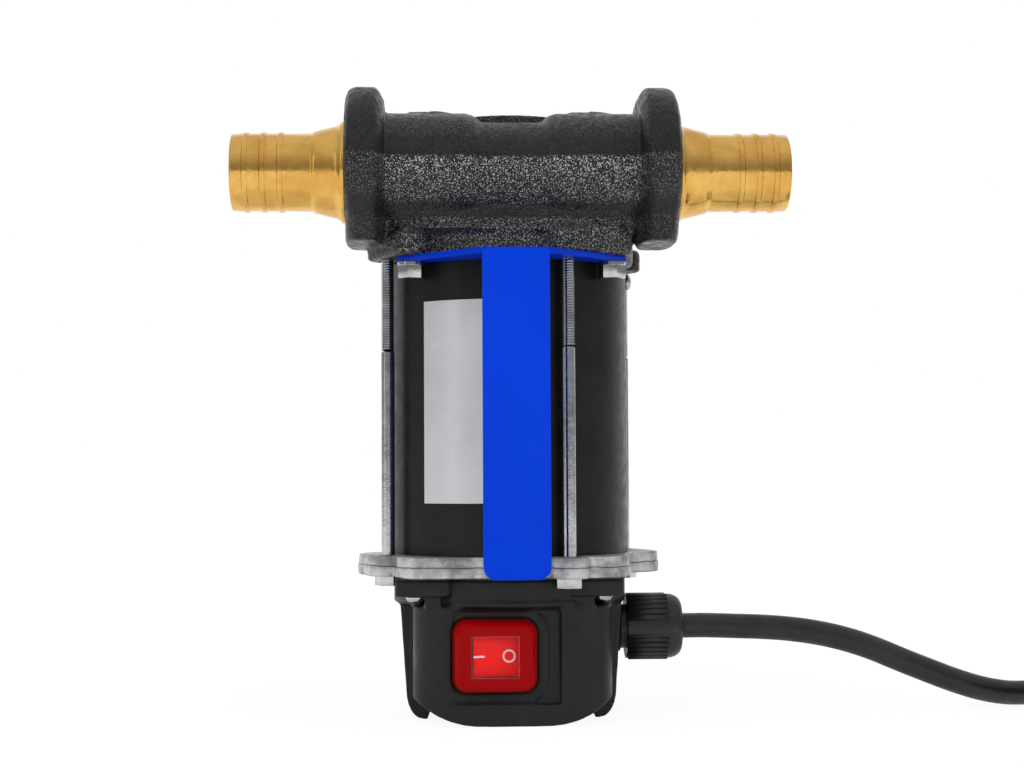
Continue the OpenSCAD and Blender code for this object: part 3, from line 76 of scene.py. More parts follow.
PAN_D, PAN_H, PAN_CORE, CORNER_SHANK, TUBE_SHANK = 7.6, 2.4, 3.96, 13.8, 5.9
CORNERS_X, CORNER_Y, CORNER_Z = (-41.0, 37.8), 40.0, 53.7
TUBE_R, TUBE_SCREW_Z = 51.9, 188.6
SWITCH_X, SWITCH_Z, ROCKER_Y = -8.0, 29.2, -41.9
GLAND_Z, NUT_TURN = 37.4, 20.0
RIM_R, FRONT_Y, POCKET_LEFT, POCKET_RIGHT = 50.4, -44.5, -26.0, 19.6

# How strong the grains of the casting and their painted glints are at each height, and how weak past the
# flanges; the strong bands are where light glints on the casting, painted there as light grey specks
GRAIN_AND_GLINT_ZONES = (
    (195, 0.45), (209.5, 0.6), (211.5, 0.08), (216, 0.12), (219, 0.6), (227, 0.75), (234.5, 1.0),
    (236, 0.02), (243, 0.04), (246, 0.12), (255, 0.2),
)
GRAIN_GLINT_LOW, GRAIN_GLINT_HIGH = 195.0, 255.0
GRAIN_GLINT_X, GRAIN_GLINT_FADE, GRAIN_GLINT_END = 52.0, 3.0, 0.3

WHITE = (1, 1, 1, 1)

# The routes of the cable, its tail past the coil and the two leads, in millimetres
CABLE_ROUTE = (
    (75, 0, 37.4), (86, 0, 37.4), (98, 0, 37), (112, 0, 36.4), (124, 0, 35.4), (136, 0, 33.6),
    (148, 0, 30.8), (160, 0, 26.8), (172, 0, 21.8), (184, 0, 17), (196, 0.4, 12.4),
    (208, 1.8, 8.6), (220, 4.6, 6.2), (232, 8.8, 5.5), (244, 13.4, 5.6), (256, 18.4, 6),
    (268, 22.6, 6.4), (279, 25, 6.7), (289.2, 25, 6.7),
)
TAIL_ROUTE = (
    (311, 25, 18.1), (321, 25, 18.1), (331, 25, 16.4), (341, 25, 12.4), (351, 25, 7.6),
    (361, 25, 5.4), (371, 25, 5.4),
)
RED_ROUTE = (
    (395, 28.4, 5.4), (400, 28.4, 5.4), (405, 29.6, 4), (410, 33, 3), (413, 38, 2.6),
    (413.6, 43, 2.6), (413, 48, 2.6), (410, 53, 2.8), (405, 56.6, 4), (399, 58, 6),
    (391, 58, 8.6), (384, 58, 10.2), (377.6, 58, 10.2),
)
BLACK_ROUTE = (
    (395, 21.6, 5.4), (402, 21.6, 5.4), (410, 22.8, 4), (418, 26.4, 3), (425, 33, 2.6),
    (429, 42, 2.6), (430, 53, 2.6), (429, 63, 2.6), (425, 72.6, 2.6), (417, 80, 2.8),
    (408, 83.4, 4), (398, 84, 6.4), (386, 84, 10.2), (377.6, 84, 10.2),
)
COIL_X, COIL_Y, COIL_R, COIL_TURNS = 300.0, -43.5, 68.5, 5
COIL_STEP, COIL_LAYER, COIL_Z = 11.5, 11.4, 6.7


def mm(*values):
    """A point given in millimetres."""
    return Vector(values) * MM


# Mesh helpers


def new_object(name, mesh):
    obj = bpy.data.objects.new(name, mesh)
    bpy.context.scene.collection.objects.link(obj)
    return obj


def mesh_object(bm, name):
    """Writes a bmesh to a new object and frees it."""
    mesh = bpy.data.meshes.new(name)
    bm.to_mesh(mesh)
    bm.free()
    return new_object(name, mesh)


def write_piece(bm, name, body, slot, replaces=(), angle=SHARP, finish=None):
    """Writes a bmesh to a named piece, shaded smooth but for its edges."""
    bmesh.ops.recalc_face_normals(bm, faces=bm.faces)
    return tie_piece(mesh_object(bm, name), body, slot, replaces, angle, finish)


def tie_piece(obj, body, slot, replaces=(), angle=SHARP, finish=None):
    """Gives a piece its finish, its body and its slot, and hides the nodes it stands for."""
    mesh = obj.data
    mesh.shade_smooth()
    if angle:
        mesh.set_sharp_from_angle(angle=angle)
    mesh.materials.clear()
    mesh.materials.append(FINISHES[finish or slot])
    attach(obj, body)
    if replaces:
        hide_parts(*replaces)
    return obj


def copy_node(node):
    """A CAD node's mesh with its loose triangles joined."""
    bm = bmesh.new()
    bm.from_mesh(NODES[node].data)
    bmesh.ops.remove_doubles(bm, verts=bm.verts, dist=0.01 * MM)
    return bm


def soften(bm, width, angle):
    """Bevels every edge that turns more than the angle."""
    edges = [e for e in bm.edges if len(e.link_faces) == 2 and e.calc_face_angle() > angle]
    bevel(bm, edges, width, 0.5)


def bevel(bm, edges, width, profile):
    bmesh.ops.bevel(
        bm, geom=edges, offset=width * MM, offset_type="OFFSET", segments=2, profile=profile,
        affect="EDGES", clamp_overlap=True, material=-1,
    )


def flat_copy(node):
    """A copy of a node whose flat faces aren't split."""
    bm = copy_node(node)
    bmesh.ops.dissolve_limit(bm, angle_limit=math.radians(0.5), verts=bm.verts, edges=bm.edges)
    return bm


def lathe(bm, profile, origin, axis, steps=96):
    """Turns (radius, height) pairs in millimetres about an axis."""
    place = axis.to_track_quat("Z", "Y").to_matrix().to_4x4()
    place.translation = origin
    verts = [bm.verts.new(place @ mm(r, 0, h)) for r, h in profile]
    edges = [bm.edges.new(pair) for pair in zip(verts, verts[1:])]
    bmesh.ops.spin(
        bm, geom=verts + edges, cent=origin, axis=axis, angle=math.tau, steps=steps,
        use_merge=True,
    )
    bmesh.ops.remove_doubles(bm, verts=bm.verts, dist=0.002 * MM)


def prism(bm, outline, low, high, place=Matrix()):
    """Raises a flat outline in millimetres between two heights."""
    base = [bm.verts.new(place @ mm(x, y, low)) for x, y in outline]
    face = bm.faces.new(base)
    made = bmesh.ops.extrude_face_region(bm, geom=[face])
    top = [v for v in made["geom"] if isinstance(v, bmesh.types.BMVert)]
    lift = place.to_3x3() @ mm(0, 0, high - low)
    bmesh.ops.translate(bm, vec=lift, verts=top)
    return base + top


def hexagon(across_flats):
    r = across_flats / 2 / math.cos(math.pi / 6)
    return [(r * math.cos(math.radians(60 * k)), r * math.sin(math.radians(60 * k))) for k in range(6)]


def up_of(place):
    """The direction in which a frame points up."""
    return (place.to_3x3() @ Vector((0, 0, 1))).normalized()


def at_angle(angle, radius, z):
    """A frame at an angle from the front, seen from above, in millimetres."""
    turn = Matrix.Rotation(math.radians(angle), 4, "Z")
    return turn @ Matrix.Translation(mm(0, -radius, z))


def applied(obj):
    """Makes an object's modifiers part of its mesh."""
    dg = bpy.context.evaluated_depsgraph_get()
    mesh = bpy.data.meshes.new_from_object(obj.evaluated_get(dg))
    obj.modifiers.clear()
    old = obj.data
    obj.data = mesh
    bpy.data.meshes.remove(old)
    return obj


def remeshed(bm, name, voxel, rounds):
    """Joins a solid into one skin of even faces with rounded edges."""
    obj = mesh_object(bm, name)
    skin = obj.modifiers.new("skin", "REMESH")
    skin.mode = "VOXEL"
    skin.voxel_size = voxel * MM
    smooth = obj.modifiers.new("smooth", "SMOOTH")
    smooth.factor = 0.5
    smooth.iterations = rounds
    return applied(obj)


def cut_away(obj, cutter):
    """Takes a cutter's shape, given as a bmesh, out of an object."""
    bmesh.ops.recalc_face_normals(cutter, faces=cutter.faces)
    tool = mesh_object(cutter, "cutter")
    cut = obj.modifiers.new("cut", "BOOLEAN")
    cut.operation = "DIFFERENCE"
    cut.solver = "EXACT"
    cut.object = tool
    applied(obj)
    bpy.data.objects.remove(tool)
    return obj


def roughen(obj, size, depth):
    """Moves the points of a skin in and out as a casting's surface does."""
    mesh = obj.data
    normals = [v.normal.copy() for v in mesh.vertices]
    for v, n in zip(mesh.vertices, normals):
        p = v.co / (size * MM)
        wave = noise.noise(p) + 0.5 * noise.noise(p * 2.3)
        v.co += n * (wave * depth * MM)
    mesh.update()


def smooth_route(points, steps):
    """More points on a smooth curve through the given ones, in metres."""
    ps = [mm(*p) for p in points]
    ps = [2 * ps[0] - ps[1]] + ps + [2 * ps[-1] - ps[-2]]
    out = []
    for a, b, c, d in zip(ps, ps[1:], ps[2:], ps[3:]):
        for k in range(steps):
            t = k / steps
            out.append(
                0.5 * (2 * b + (c - a) * t + (2 * a - 5 * b + 4 * c - d) * t * t
                       + (3 * b - a - 3 * c + d) * t ** 3)
            )
    return out + [ps[-2]]


def tube_piece(name, route, diameter, slot, replaces):
    """A round cord as a curve along its route."""
    curve = bpy.data.curves.new(name, "CURVE")
    curve.dimensions = "3D"
    curve.bevel_depth = diameter / 2
    curve.bevel_resolution = 6
    curve.use_fill_caps = True
    curve.materials.append(FINISHES[slot])
    spline = curve.splines.new("POLY")
    spline.points.add(len(route) - 1)
    for point, co in zip(spline.points, route):
        point.co = (*co, 1)
    obj = new_object(name, curve)
    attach(obj, "pump")
    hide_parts(*replaces)
    return obj


# Shader nodes


def put(tree, socket, value):
    """Links a socket to another node's output, or gives it a plain value."""
    if isinstance(value, bpy.types.NodeSocket):
        tree.links.new(value, socket)
    else:
        socket.default_value = value


def add(tree, kind, sockets=None, **settings):
    """A node with its settings and the values of its sockets."""
    node = tree.nodes.new(kind)
    for key, value in settings.items():
        setattr(node, key, value)
    for key, value in (sockets or {}).items():
        put(tree, node.inputs[key], value)
    return node


def calc(tree, operation, *terms, clamp=False):
    node = add(tree, "ShaderNodeMath", dict(enumerate(terms)), operation=operation, use_clamp=clamp)
    return node.outputs[0]


def vector(tree, operation, *terms, out=0):
    return add(tree, "ShaderNodeVectorMath", dict(enumerate(terms)), operation=operation).outputs[out]


def split(tree, source):
    return add(tree, "ShaderNodeSeparateXYZ", {0: source}).outputs


def span(tree, value, start, end, low=0.0, high=1.0, smooth=False):
    """Maps one range of values to another, straight or eased at both ends."""
    sockets = {"Value": value, "From Min": start, "From Max": end, "To Min": low, "To Max": high}
    kind = "SMOOTHSTEP" if smooth else "LINEAR"
    return add(tree, "ShaderNodeMapRange", sockets, interpolation_type=kind).outputs[0]


def cloud(tree, place, scale, **sockets):
    return add(tree, "ShaderNodeTexNoise", {"Vector": place, "Scale": scale, **sockets}).outputs["Fac"]


def mixed(tree, factor, ground, over):
    """One colour laid over another."""
    return add(tree, "ShaderNodeMix", {"Factor": factor, 6: ground, 7: over}, data_type="RGBA").outputs[2]


def shared(tree, factor, first, second):
    """One shader in place of another for a share of the rays."""
    return add(tree, "ShaderNodeMixShader", {0: factor, 1: first, 2: second}).outputs[0]


def open_group(name, **inputs):
    """A node group with a vector and named inputs, each of the kind of its first value."""
    tree = bpy.data.node_groups.new(name, "ShaderNodeTree")
    for label, value in {"Vector": (0, 0, 0), **inputs}.items():
        kind = {3: "Vector", 4: "Color"}[len(value)] if isinstance(value, tuple) else "Float"
        socket = tree.interface.new_socket(label, in_out="INPUT", socket_type="NodeSocket" + kind)
        socket.default_value = value
    return tree, tree.nodes.new("NodeGroupInput").outputs


def close_group(tree, **outputs):
    """Gives a node group its named outputs."""
    for label in outputs:
        kind = "Color" if label == "Color" else "Float"
        tree.interface.new_socket(label, in_out="OUTPUT", socket_type="NodeSocket" + kind)
    end = tree.nodes.new("NodeGroupOutput")
    for label, source in outputs.items():
        tree.links.new(source, end.inputs[label])
    return tree


def grain_group():
    """Fine bumps: a height and a mask from noise that can be stretched."""
    tree, src = open_group("Surface grain", Scale=900.0, Stretch=(1, 1, 1), Roughness=0.6, Contrast=1.0)
    place = vector(tree, "MULTIPLY", src["Vector"], src["Stretch"])
    fine = cloud(tree, place, src["Scale"], Roughness=src["Roughness"], Detail=3.0)
    swing = calc(tree, "MULTIPLY", calc(tree, "SUBTRACT", fine, 0.5), src["Contrast"])
    high = calc(tree, "ADD", swing, 0.5, clamp=True)
    return close_group(tree, Height=high, Mask=span(tree, high, 0.35, 0.65, smooth=True))


def mottle_group():
    """Blotches of one colour in another, with a mask."""
    tree, src = open_group(
        "Mottle", Scale=40.0, Ground=(0.5, 0.5, 0.5, 1), Blotch=(0.3, 0.3, 0.3, 1), Amount=0.5,
    )
    blots = cloud(tree, src["Vector"], src["Scale"], Detail=5.0, Roughness=0.62, Distortion=0.3)
    part = calc(tree, "MULTIPLY", span(tree, blots, 0.38, 0.66, smooth=True), src["Amount"])
    return close_group(tree, Color=mixed(tree, part, src["Ground"], src["Blotch"]), Mask=part)


def sparkle_group():
    """Domed sharp grains, specks of painted glint, and how strong both are at each height of the casting."""
    tree, src = open_group("Casting sparkle", Scale=1200.0, Calm=0.2)
    sockets = {"Vector": src["Vector"], "Scale": src["Scale"], "Randomness": 1.0}
    grains = add(tree, "ShaderNodeTexVoronoi", sockets)
    parts = split(tree, src["Vector"])
    zone = add(tree, "ShaderNodeValToRGB", {"Fac": span(tree, parts["Z"], GRAIN_GLINT_LOW * MM, GRAIN_GLINT_HIGH * MM)})
    stops = zone.color_ramp.elements
    stops.remove(stops[1])
    for k, (z, strength) in enumerate(GRAIN_AND_GLINT_ZONES):
        stop = stops.new((z - GRAIN_GLINT_LOW) / (GRAIN_GLINT_HIGH - GRAIN_GLINT_LOW)) if k else stops[0]
        stop.color = (strength, strength, strength, 1)
    side = calc(tree, "ABSOLUTE", parts["X"])
    ends = span(tree, side, GRAIN_GLINT_X * MM, (GRAIN_GLINT_X + GRAIN_GLINT_FADE) * MM, 1.0, GRAIN_GLINT_END)
    here = calc(tree, "MULTIPLY", zone.outputs["Color"], ends)
    high = calc(tree, "MAXIMUM", here, src["Calm"])
    # Painted glints: specks of light colour where the casting's bands catch the light
    fine = cloud(tree, src["Vector"], src["Scale"], Detail=2.0, Roughness=0.7)
    return close_group(
        tree, Height=calc(tree, "SUBTRACT", 1.0, grains.outputs["Distance"]), Zone=high,
        Specks=calc(tree, "MULTIPLY", span(tree, fine, 0.545, 0.61), high),
    )


def window_group():
    """A mask that is one outside an upright window and nothing in it."""
    tree, src = open_group("Window", Centre=(0, 0, 0), Half=(1, 1, 1))
    moved = vector(tree, "SUBTRACT", src["Vector"], src["Centre"])
    parts = split(tree, vector(tree, "ABSOLUTE", vector(tree, "DIVIDE", moved, src["Half"])))
    most = calc(tree, "MAXIMUM", parts["X"], parts["Z"])
    return close_group(tree, Mask=span(tree, most, 0.99, 1.02, smooth=True))


def rings_group():
    """Turning marks: fine rings along one axis, broken up by noise."""
    tree, src = open_group("Turning marks", Pitch=2000.0, Axis=(1, 0, 0))
    along = vector(tree, "DOT_PRODUCT", src["Vector"], src["Axis"], out="Value")
    bend = calc(tree, "MULTIPLY", cloud(tree, src["Vector"], 60.0, Detail=2.0), 0.0015)
    phase = calc(tree, "MULTIPLY", calc(tree, "ADD", along, bend), src["Pitch"])
    line = add(tree, "ShaderNodeTexNoise", {"W": phase, "Scale": 1.0, "Detail": 2.0}, noise_dimensions="1D")
    return close_group(tree, Height=line.outputs["Fac"])


GROUPS = {}
FINISHES = {}


class Finish:
    """A material in the making: one Principled shader and the nodes that feed it."""

    def __init__(self, name, colour, roughness, metallic=0.0, **sockets):
        self.mat = FINISHES[name] = bpy.data.materials.new(name)
        self.mat.use_nodes = True
        self.colour = self.mat.diffuse_color = (*colour[:3], 1)
        self.tree = self.mat.node_tree
        self.sockets = self.tree.nodes["Principled BSDF"].inputs
        self.set("Roughness", roughness)
        self.set("Metallic", metallic)
        for key, value in sockets.items():
            self.set(key.replace("_", " "), value)
        self.where = add(self.tree, "ShaderNodeTexCoord").outputs["Object"]
        self.normal = None
        self.paint(self.colour)

    def set(self, key, value):
        put(self.tree, self.sockets[key], value)

    def paint(self, colour):
        self.ground = colour
        self.set("Base Color", colour)
        return self

    def use(self, name, **values):
        node = add(self.tree, "ShaderNodeGroup", {"Vector": self.where, **values}, node_tree=GROUPS[name])
        return node.outputs

    def bump(self, height, depth, strength=1.0):
        """Adds a layer of bumps, its depth in millimetres."""
        sockets = {"Height": height, "Strength": strength, "Distance": depth * MM}
        if self.normal:
            sockets["Normal"] = self.normal
        self.normal = add(self.tree, "ShaderNodeBump", sockets).outputs["Normal"]
        self.set("Normal", self.normal)
        return self

    def grain(self, scale, depth, stretch=(1, 1, 1), contrast=1.0):
        bumps = self.use("grain", Scale=scale, Stretch=stretch, Contrast=contrast)
        return self.bump(bumps["Height"], depth)

    def rings(self, pitch, depth, axis):
        return self.bump(self.use("rings", Pitch=pitch, Axis=axis)["Height"], depth)

    def mottle(self, blotch, scale, amount=0.5):
        blots = self.use("mottle", Scale=scale, Ground=self.colour, Blotch=(*blotch, 1), Amount=amount)
        return self.paint(blots["Color"])

    def uneven(self, scale, low, high):
        """Roughness that wanders between two values."""
        self.set("Roughness", span(self.tree, self.use("grain", Scale=scale)["Mask"], 0.0, 1.0, low, high))
        return self

    def sparkle(self, scale, depth, calm, bare):
        """Sharp grain bumps, and light grey specks in the colour bare that are painted glints; both strong in
        the bands of the casting where light glints, and calm between them.
        """
        grains = self.use("sparkle", Scale=scale, Calm=calm)
        self.bump(grains["Height"], depth, grains["Zone"])
        # Painted glint: the specks take the light grey colour bare over the cast colour
        return self.paint(mixed(self.tree, grains["Specks"], self.ground, (*bare, 1)))

    def seam(self, z, width, dark):
        """A dark line round the piece at one height, a little uneven, in millimetres."""
        wave = cloud(self.tree, self.where, 130.0, Detail=3.0)
        middle = span(self.tree, wave, 0.0, 1.0, (z - 0.6) * MM, (z + 0.6) * MM)
        off = calc(self.tree, "SUBTRACT", split(self.tree, self.where)["Z"], middle)
        mask = span(self.tree, calc(self.tree, "ABSOLUTE", off), width * MM, width * MM / 3, 0.0, 0.85)
        return self.paint(mixed(self.tree, mask, self.ground, (*dark, 1)))

    def window(self, centre, half, clear, see_through):
        """Clear in a window and dyed round it."""
        mask = self.use("window", Centre=centre, Half=half)["Mask"]
        self.set("Transmission Weight", span(self.tree, mask, 0.0, 1.0, 1.0, see_through))
        return self.paint(mixed(self.tree, mask, (*clear, 1), self.colour))


# Plain finishes: colour, roughness, metal; blotches, their scale and amount; grain, its depth
PLAIN = {
    "black_rubber": ((0.014, 0.014, 0.014), 0.7, 0, (0.03, 0.03, 0.03), 80, 0.5, 900, 0.05),
    "mark_white": ((0.9, 0.88, 0.86), 0.4, 0, (0.75, 0.72, 0.7), 300, 0.4, 1800, 0.01),
    "bearing_steel": ((0.6, 0.6, 0.62), 0.22, 1, (0.42, 0.42, 0.44), 90, 0.5, 900, 0.015),
    "spring_steel": ((0.5, 0.51, 0.53), 0.28, 1, (0.3, 0.3, 0.31), 200, 0.6, 1500, 0.01),
    "ferrite": ((0.05, 0.05, 0.055), 0.6, 0, (0.1, 0.09, 0.09), 70, 0.6, 700, 0.08),
    "copper": ((0.72, 0.3, 0.14), 0.3, 1, (0.4, 0.14, 0.06), 160, 0.7, 700, 0.1),
    "phenolic": ((0.16, 0.075, 0.03), 0.5, 0, (0.26, 0.13, 0.06), 120, 0.6, 500, 0.06),
    "carbon": ((0.03, 0.03, 0.03), 0.55, 0, (0.06, 0.06, 0.06), 150, 0.5, 1100, 0.05),
    "sintered_steel": ((0.32, 0.32, 0.33), 0.45, 1, (0.2, 0.2, 0.2), 160, 0.6, 1300, 0.06),
    "cover_steel": ((0.1, 0.1, 0.105), 0.35, 1, (0.05, 0.045, 0.04), 120, 0.6, 900, 0.04),
    "tie_nylon": ((0.016, 0.016, 0.016), 0.4, 0, (0.03, 0.03, 0.03), 90, 0.5, 1200, 0.03),
    "lead_red": ((0.5, 0.012, 0.01), 0.4, 0, (0.38, 0.01, 0.01), 90, 0.5, 900, 0.02),
    "lead_black": ((0.014, 0.014, 0.014), 0.42, 0, (0.028, 0.028, 0.028), 90, 0.5, 900, 0.02),
    "grip_red": ((0.5, 0.01, 0.01), 0.34, 0, (0.36, 0.008, 0.008), 60, 0.5, 500, 0.05),
    "grip_black": ((0.016, 0.016, 0.016), 0.36, 0, (0.03, 0.03, 0.03), 60, 0.5, 500, 0.05),
}


def make_finishes(c):
    """Makes every material, the ones in view from the colours that a user set."""
    GROUPS.update(
        grain=grain_group(), mottle=mottle_group(), rings=rings_group(), sparkle=sparkle_group(),
        window=window_group(),
    )
    for name, (colour, rough, metal, blotch, size, amount, scale, depth) in PLAIN.items():
        Finish(name, colour, rough, metal).mottle(blotch, size, amount).grain(scale, depth)
    cast = Finish("cast_black", c.cast, 0.42, Specular_IOR_Level=0.3)
    cast.mottle((0.012, 0.012, 0.0125), 30, 0.6).uneven(260, 0.26, 0.5)
    # The grey (0.5, 0.5, 0.5) is painted glint, laid in specks on the cast head
    cast.grain(420, 0.3, contrast=1.2).sparkle(1600, 0.35, 0.04, (0.5, 0.5, 0.5))
    brass = Finish("brass", c.brass, 0.2, 1.0).mottle((0.62, 0.3, 0.06), 70, 0.6)
    brass.uneven(300, 0.12, 0.26).rings(2600, 0.03, (1, 0, 0)).grain(260, 0.05)
    blue = Finish("blue_paint", c.handle, 0.42, Specular_IOR_Level=0.05)
    blue.mottle((0.0, 0.032, 0.5), 18, 0.4).grain(700, 0.015).uneven(120, 0.34, 0.44)
    tube = Finish("tube_paint", c.tube, 0.34, Specular_IOR_Level=0.22)
    tube.mottle((0.012, 0.012, 0.0125), 25, 0.6).grain(900, 0.03).uneven(200, 0.3, 0.42)
    zinc = Finish("zinc", (0.56, 0.57, 0.58), 0.14, 1.0)
    zinc.mottle((0.32, 0.32, 0.32), 120, 0.6).uneven(400, 0.06, 0.2).grain(900, 0.03)
    flange = Finish("cast_aluminium", c.flange, 0.46, 0.75).mottle((0.2, 0.2, 0.196), 75, 0.85)
    flange.seam(PARTING_Z, 0.32, (0.05, 0.05, 0.05)).uneven(150, 0.38, 0.62)
    flange.grain(330, 0.16).grain(1100, 0.08)
    box = Finish("black_plastic", c.box, 0.36, Specular_IOR_Level=0.3)
    box.mottle((0.014, 0.014, 0.0145), 40, 0.5).grain(1500, 0.03).uneven(90, 0.36, 0.48)
    gland = Finish("gland_nylon", c.box, 0.38, Specular_IOR_Level=0.45)
    gland.mottle((0.024, 0.024, 0.025), 60, 0.5).grain(1400, 0.02).uneven(140, 0.32, 0.46)
    sheath = Finish("cable_sheath", c.cable, 0.4, Specular_IOR_Level=0.45)
    sheath.mottle((0.02, 0.02, 0.021), 50, 0.5).grain(800, 0.03).uneven(160, 0.34, 0.5)
    cap = Finish("red_silicone", c.cap, 0.06, IOR=1.2, Specular_IOR_Level=0.15)
    cap.window(mm(SWITCH_X + 0.1, 0, SWITCH_Z), (9.6 * MM, 1, 8.4 * MM), (0.96, 0.84, 0.84), 0.5)
    cap.grain(220, 0.04).uneven(200, 0.03, 0.1)
    rocker = Finish("red_plastic", c.rocker, 0.22, Specular_IOR_Level=0.1)
    rocker.mottle((0.7, 0.002, 0.002), 80, 0.4).grain(900, 0.01).uneven(200, 0.16, 0.3)
    label = Finish("label_foil", c.label, 0.34, 0.35).mottle((0.44, 0.445, 0.46), 14, 0.5)
    label.grain(500, 0.01, stretch=(1, 1, 0.05)).uneven(60, 0.28, 0.4)
    core = Finish("core_steel", (0.26, 0.26, 0.28), 0.4, 1.0).mottle((0.12, 0.11, 0.1), 90, 0.6)
    core.rings(3000, 0.1, (0, 0, 1))
    clamp = Finish("clamp_steel", (0.6, 0.61, 0.62), 0.24, 1.0).mottle((0.4, 0.4, 0.4), 60, 0.6)
    clamp.grain(260, 0.05, stretch=(1, 0.2, 1)).uneven(200, 0.18, 0.34)


def dress_node(node, finish):
    """Gives a CAD node that stays in view its finish."""
    obj = NODES[node]
    obj.data.materials.clear()
    obj.data.materials.append(FINISHES[finish])


# Sizes and colours that a user would change


class PumpView(PropertyGroup):
    lens: FloatProperty(name="Lens", description="Focal length on a 36 mm frame", default=65.04,
                        unit="CAMERA")
    azimuth: FloatProperty(name="Azimuth", description="Turn of the camera to the left, in degrees",
                           default=2.32)
    distance: FloatProperty(name="Distance", description="From the camera to the motor axis", default=0.814,
                            unit="LENGTH")
    height: FloatProperty(name="Height", description="Height of the lens", default=0.106, unit="LENGTH")
    aim: FloatProperty(name="Aim", description="Turn from the motor axis to the view's middle, in degrees",
                       default=0.108)
    pitch: FloatProperty(name="Pitch", description="Upward tilt of the camera, in degrees", default=2.66)
    roll: FloatProperty(name="Roll", description="Roll of the camera, in degrees", default=-0.3)


class PumpCord(PropertyGroup):
    cable: FloatProperty(name="Cable", description="Diameter of the cable", default=0.0108, unit="LENGTH")
    lead: FloatProperty(name="Lead", description="Diameter of a lead", default=0.005, unit="LENGTH")
    rings: IntProperty(name="Rings", description="Points in one turn of the coil", default=48)


class PumpShape(PropertyGroup):
    head_voxel: FloatProperty(name="Head skin", description="Face size of the cast head, in millimetres",
                              default=1.05)
    flange_voxel: FloatProperty(name="Flange skin", description="Face size of the end flange, in millimetres",
                                default=0.8)
    box_voxel: FloatProperty(name="Box skin", description="Face size of the switch box, in millimetres",
                             default=0.8)
    sand: FloatProperty(name="Sand", description="Depth of the head's cast surface, in millimetres",
                        default=0.12)
    thread: FloatProperty(name="Thread", description="Pitch of the bolts' thread, in millimetres",
                          default=1.1)


def swatch(name, description, *default):
    return FloatVectorProperty(name=name, description=description, subtype="COLOR", default=default)


class PumpColours(PropertyGroup):
    cast: swatch("Cast head", "Paint of the cast head", 0.007, 0.007, 0.0073)
    brass: swatch("Brass", "Brass of the hose barbs", 0.83, 0.5, 0.13)
    handle: swatch("Handle", "Paint of the handle", 0.0, 0.043, 0.62)
    tube: swatch("Tube", "Paint of the motor tube", 0.006, 0.006, 0.0063)
    flange: swatch("Flange", "Die-cast metal of the end flange", 0.66, 0.66, 0.65)
    box: swatch("Box", "Plastic of the switch box", 0.009, 0.009, 0.0093)
    cable: swatch("Cable", "Sheath of the cable", 0.01, 0.01, 0.0105)
    cap: swatch("Cap", "Rubber cap of the switch", 0.5, 0.001, 0.003)
    rocker: swatch("Rocker", "Plastic of the rocker", 0.92, 0.002, 0.002)
    label: swatch("Label", "Foil of the bare label", 0.6, 0.605, 0.62)
    floor: swatch("Floor", "Floor and backdrop", 0.9, 0.9, 0.9)


# Operators, one for each piece or group of like pieces


class PUMP_OT_camera(Operator):
    """Places the camera in front of the pump, a little to its left"""

    bl_idname = "pump.camera"
    bl_label = "Camera"

    def execute(self, context):
        v = context.scene.pump_view
        data = bpy.data.cameras.new("camera")
        data.lens = v.lens
        data.sensor_width = 36
        data.clip_start = 0.01
        obj = new_object("camera", data)
        side = math.radians(v.azimuth)
        obj.location = (-v.distance * math.sin(side), -v.distance * math.cos(side), v.height)
        yaw = math.radians(v.azimuth + v.aim)
        pitch = math.radians(v.pitch)
        look = Vector((math.sin(yaw) * math.cos(pitch), math.cos(yaw) * math.cos(pitch), math.sin(pitch)))
        obj.rotation_mode = "QUATERNION"
        roll = Quaternion((0, 0, 1), math.radians(v.roll))
        obj.rotation_quaternion = look.to_track_quat("-Z", "Y") @ roll
        context.scene.camera = obj
        context.scene.view_settings.view_transform = "Standard"
        return {"FINISHED"}


class PUMP_OT_finishes(Operator):
    """Makes every finish of the pump"""

    bl_idname = "pump.finishes"
    bl_label = "Finishes"

    def execute(self, context):
        make_finishes(context.scene.pump_colours)
        return {"FINISHED"}


def coil_point(t):
    """A point of the coil after t turns: in, up a layer as it turns back, and out."""
    half = COIL_TURNS / 2
    r = COIL_R - COIL_STEP * (half - abs(t - half))
    lift = min(max(t - half + 0.25, 0.0), 0.5)
    z = COIL_Z + COIL_LAYER * (1 - math.cos(math.tau * lift)) / 2
    return (COIL_X + r * math.sin(math.tau * t), COIL_Y + r * math.cos(math.tau * t), z)


class PUMP_OT_cords(Operator):
    """Lays the cable, its tied coil and the two leads"""

    bl_idname = "pump.cords"
    bl_label = "Cords"

    def execute(self, context):
        s = context.scene.pump_cord
        coil = [coil_point(k / s.rings) for k in range(COIL_TURNS * s.rings + 1)]
        free = smooth_route(CABLE_ROUTE + (coil[0],), 4)[:-1]
        tail = smooth_route((coil[-1],) + TAIL_ROUTE, 4)[1:]
        route = free + [mm(*p) for p in coil] + tail
        cable = tube_piece("power_cable", route, s.cable, "cable_sheath", ("cable", "cable_coil"))
        for name, points, node, clamp in (
            ("red_lead", RED_ROUTE, "lead_red",
             ("grip_fixed_red_sleeve", "grip_moving_red_sleeve", "jaw_moving_red", "clamp_jaws_fixed",
              "clamp_pins", "clamp_springs")),
            ("black_lead", BLACK_ROUTE, "lead_black",
             ("grip_fixed_black_sleeve", "grip_moving_black_sleeve", "jaw_moving_black")),
        ):
            lead = smooth_route(points, 4)
            piece = tube_piece(name, lead, s.lead, node, (node,))
        return {"FINISHED"}


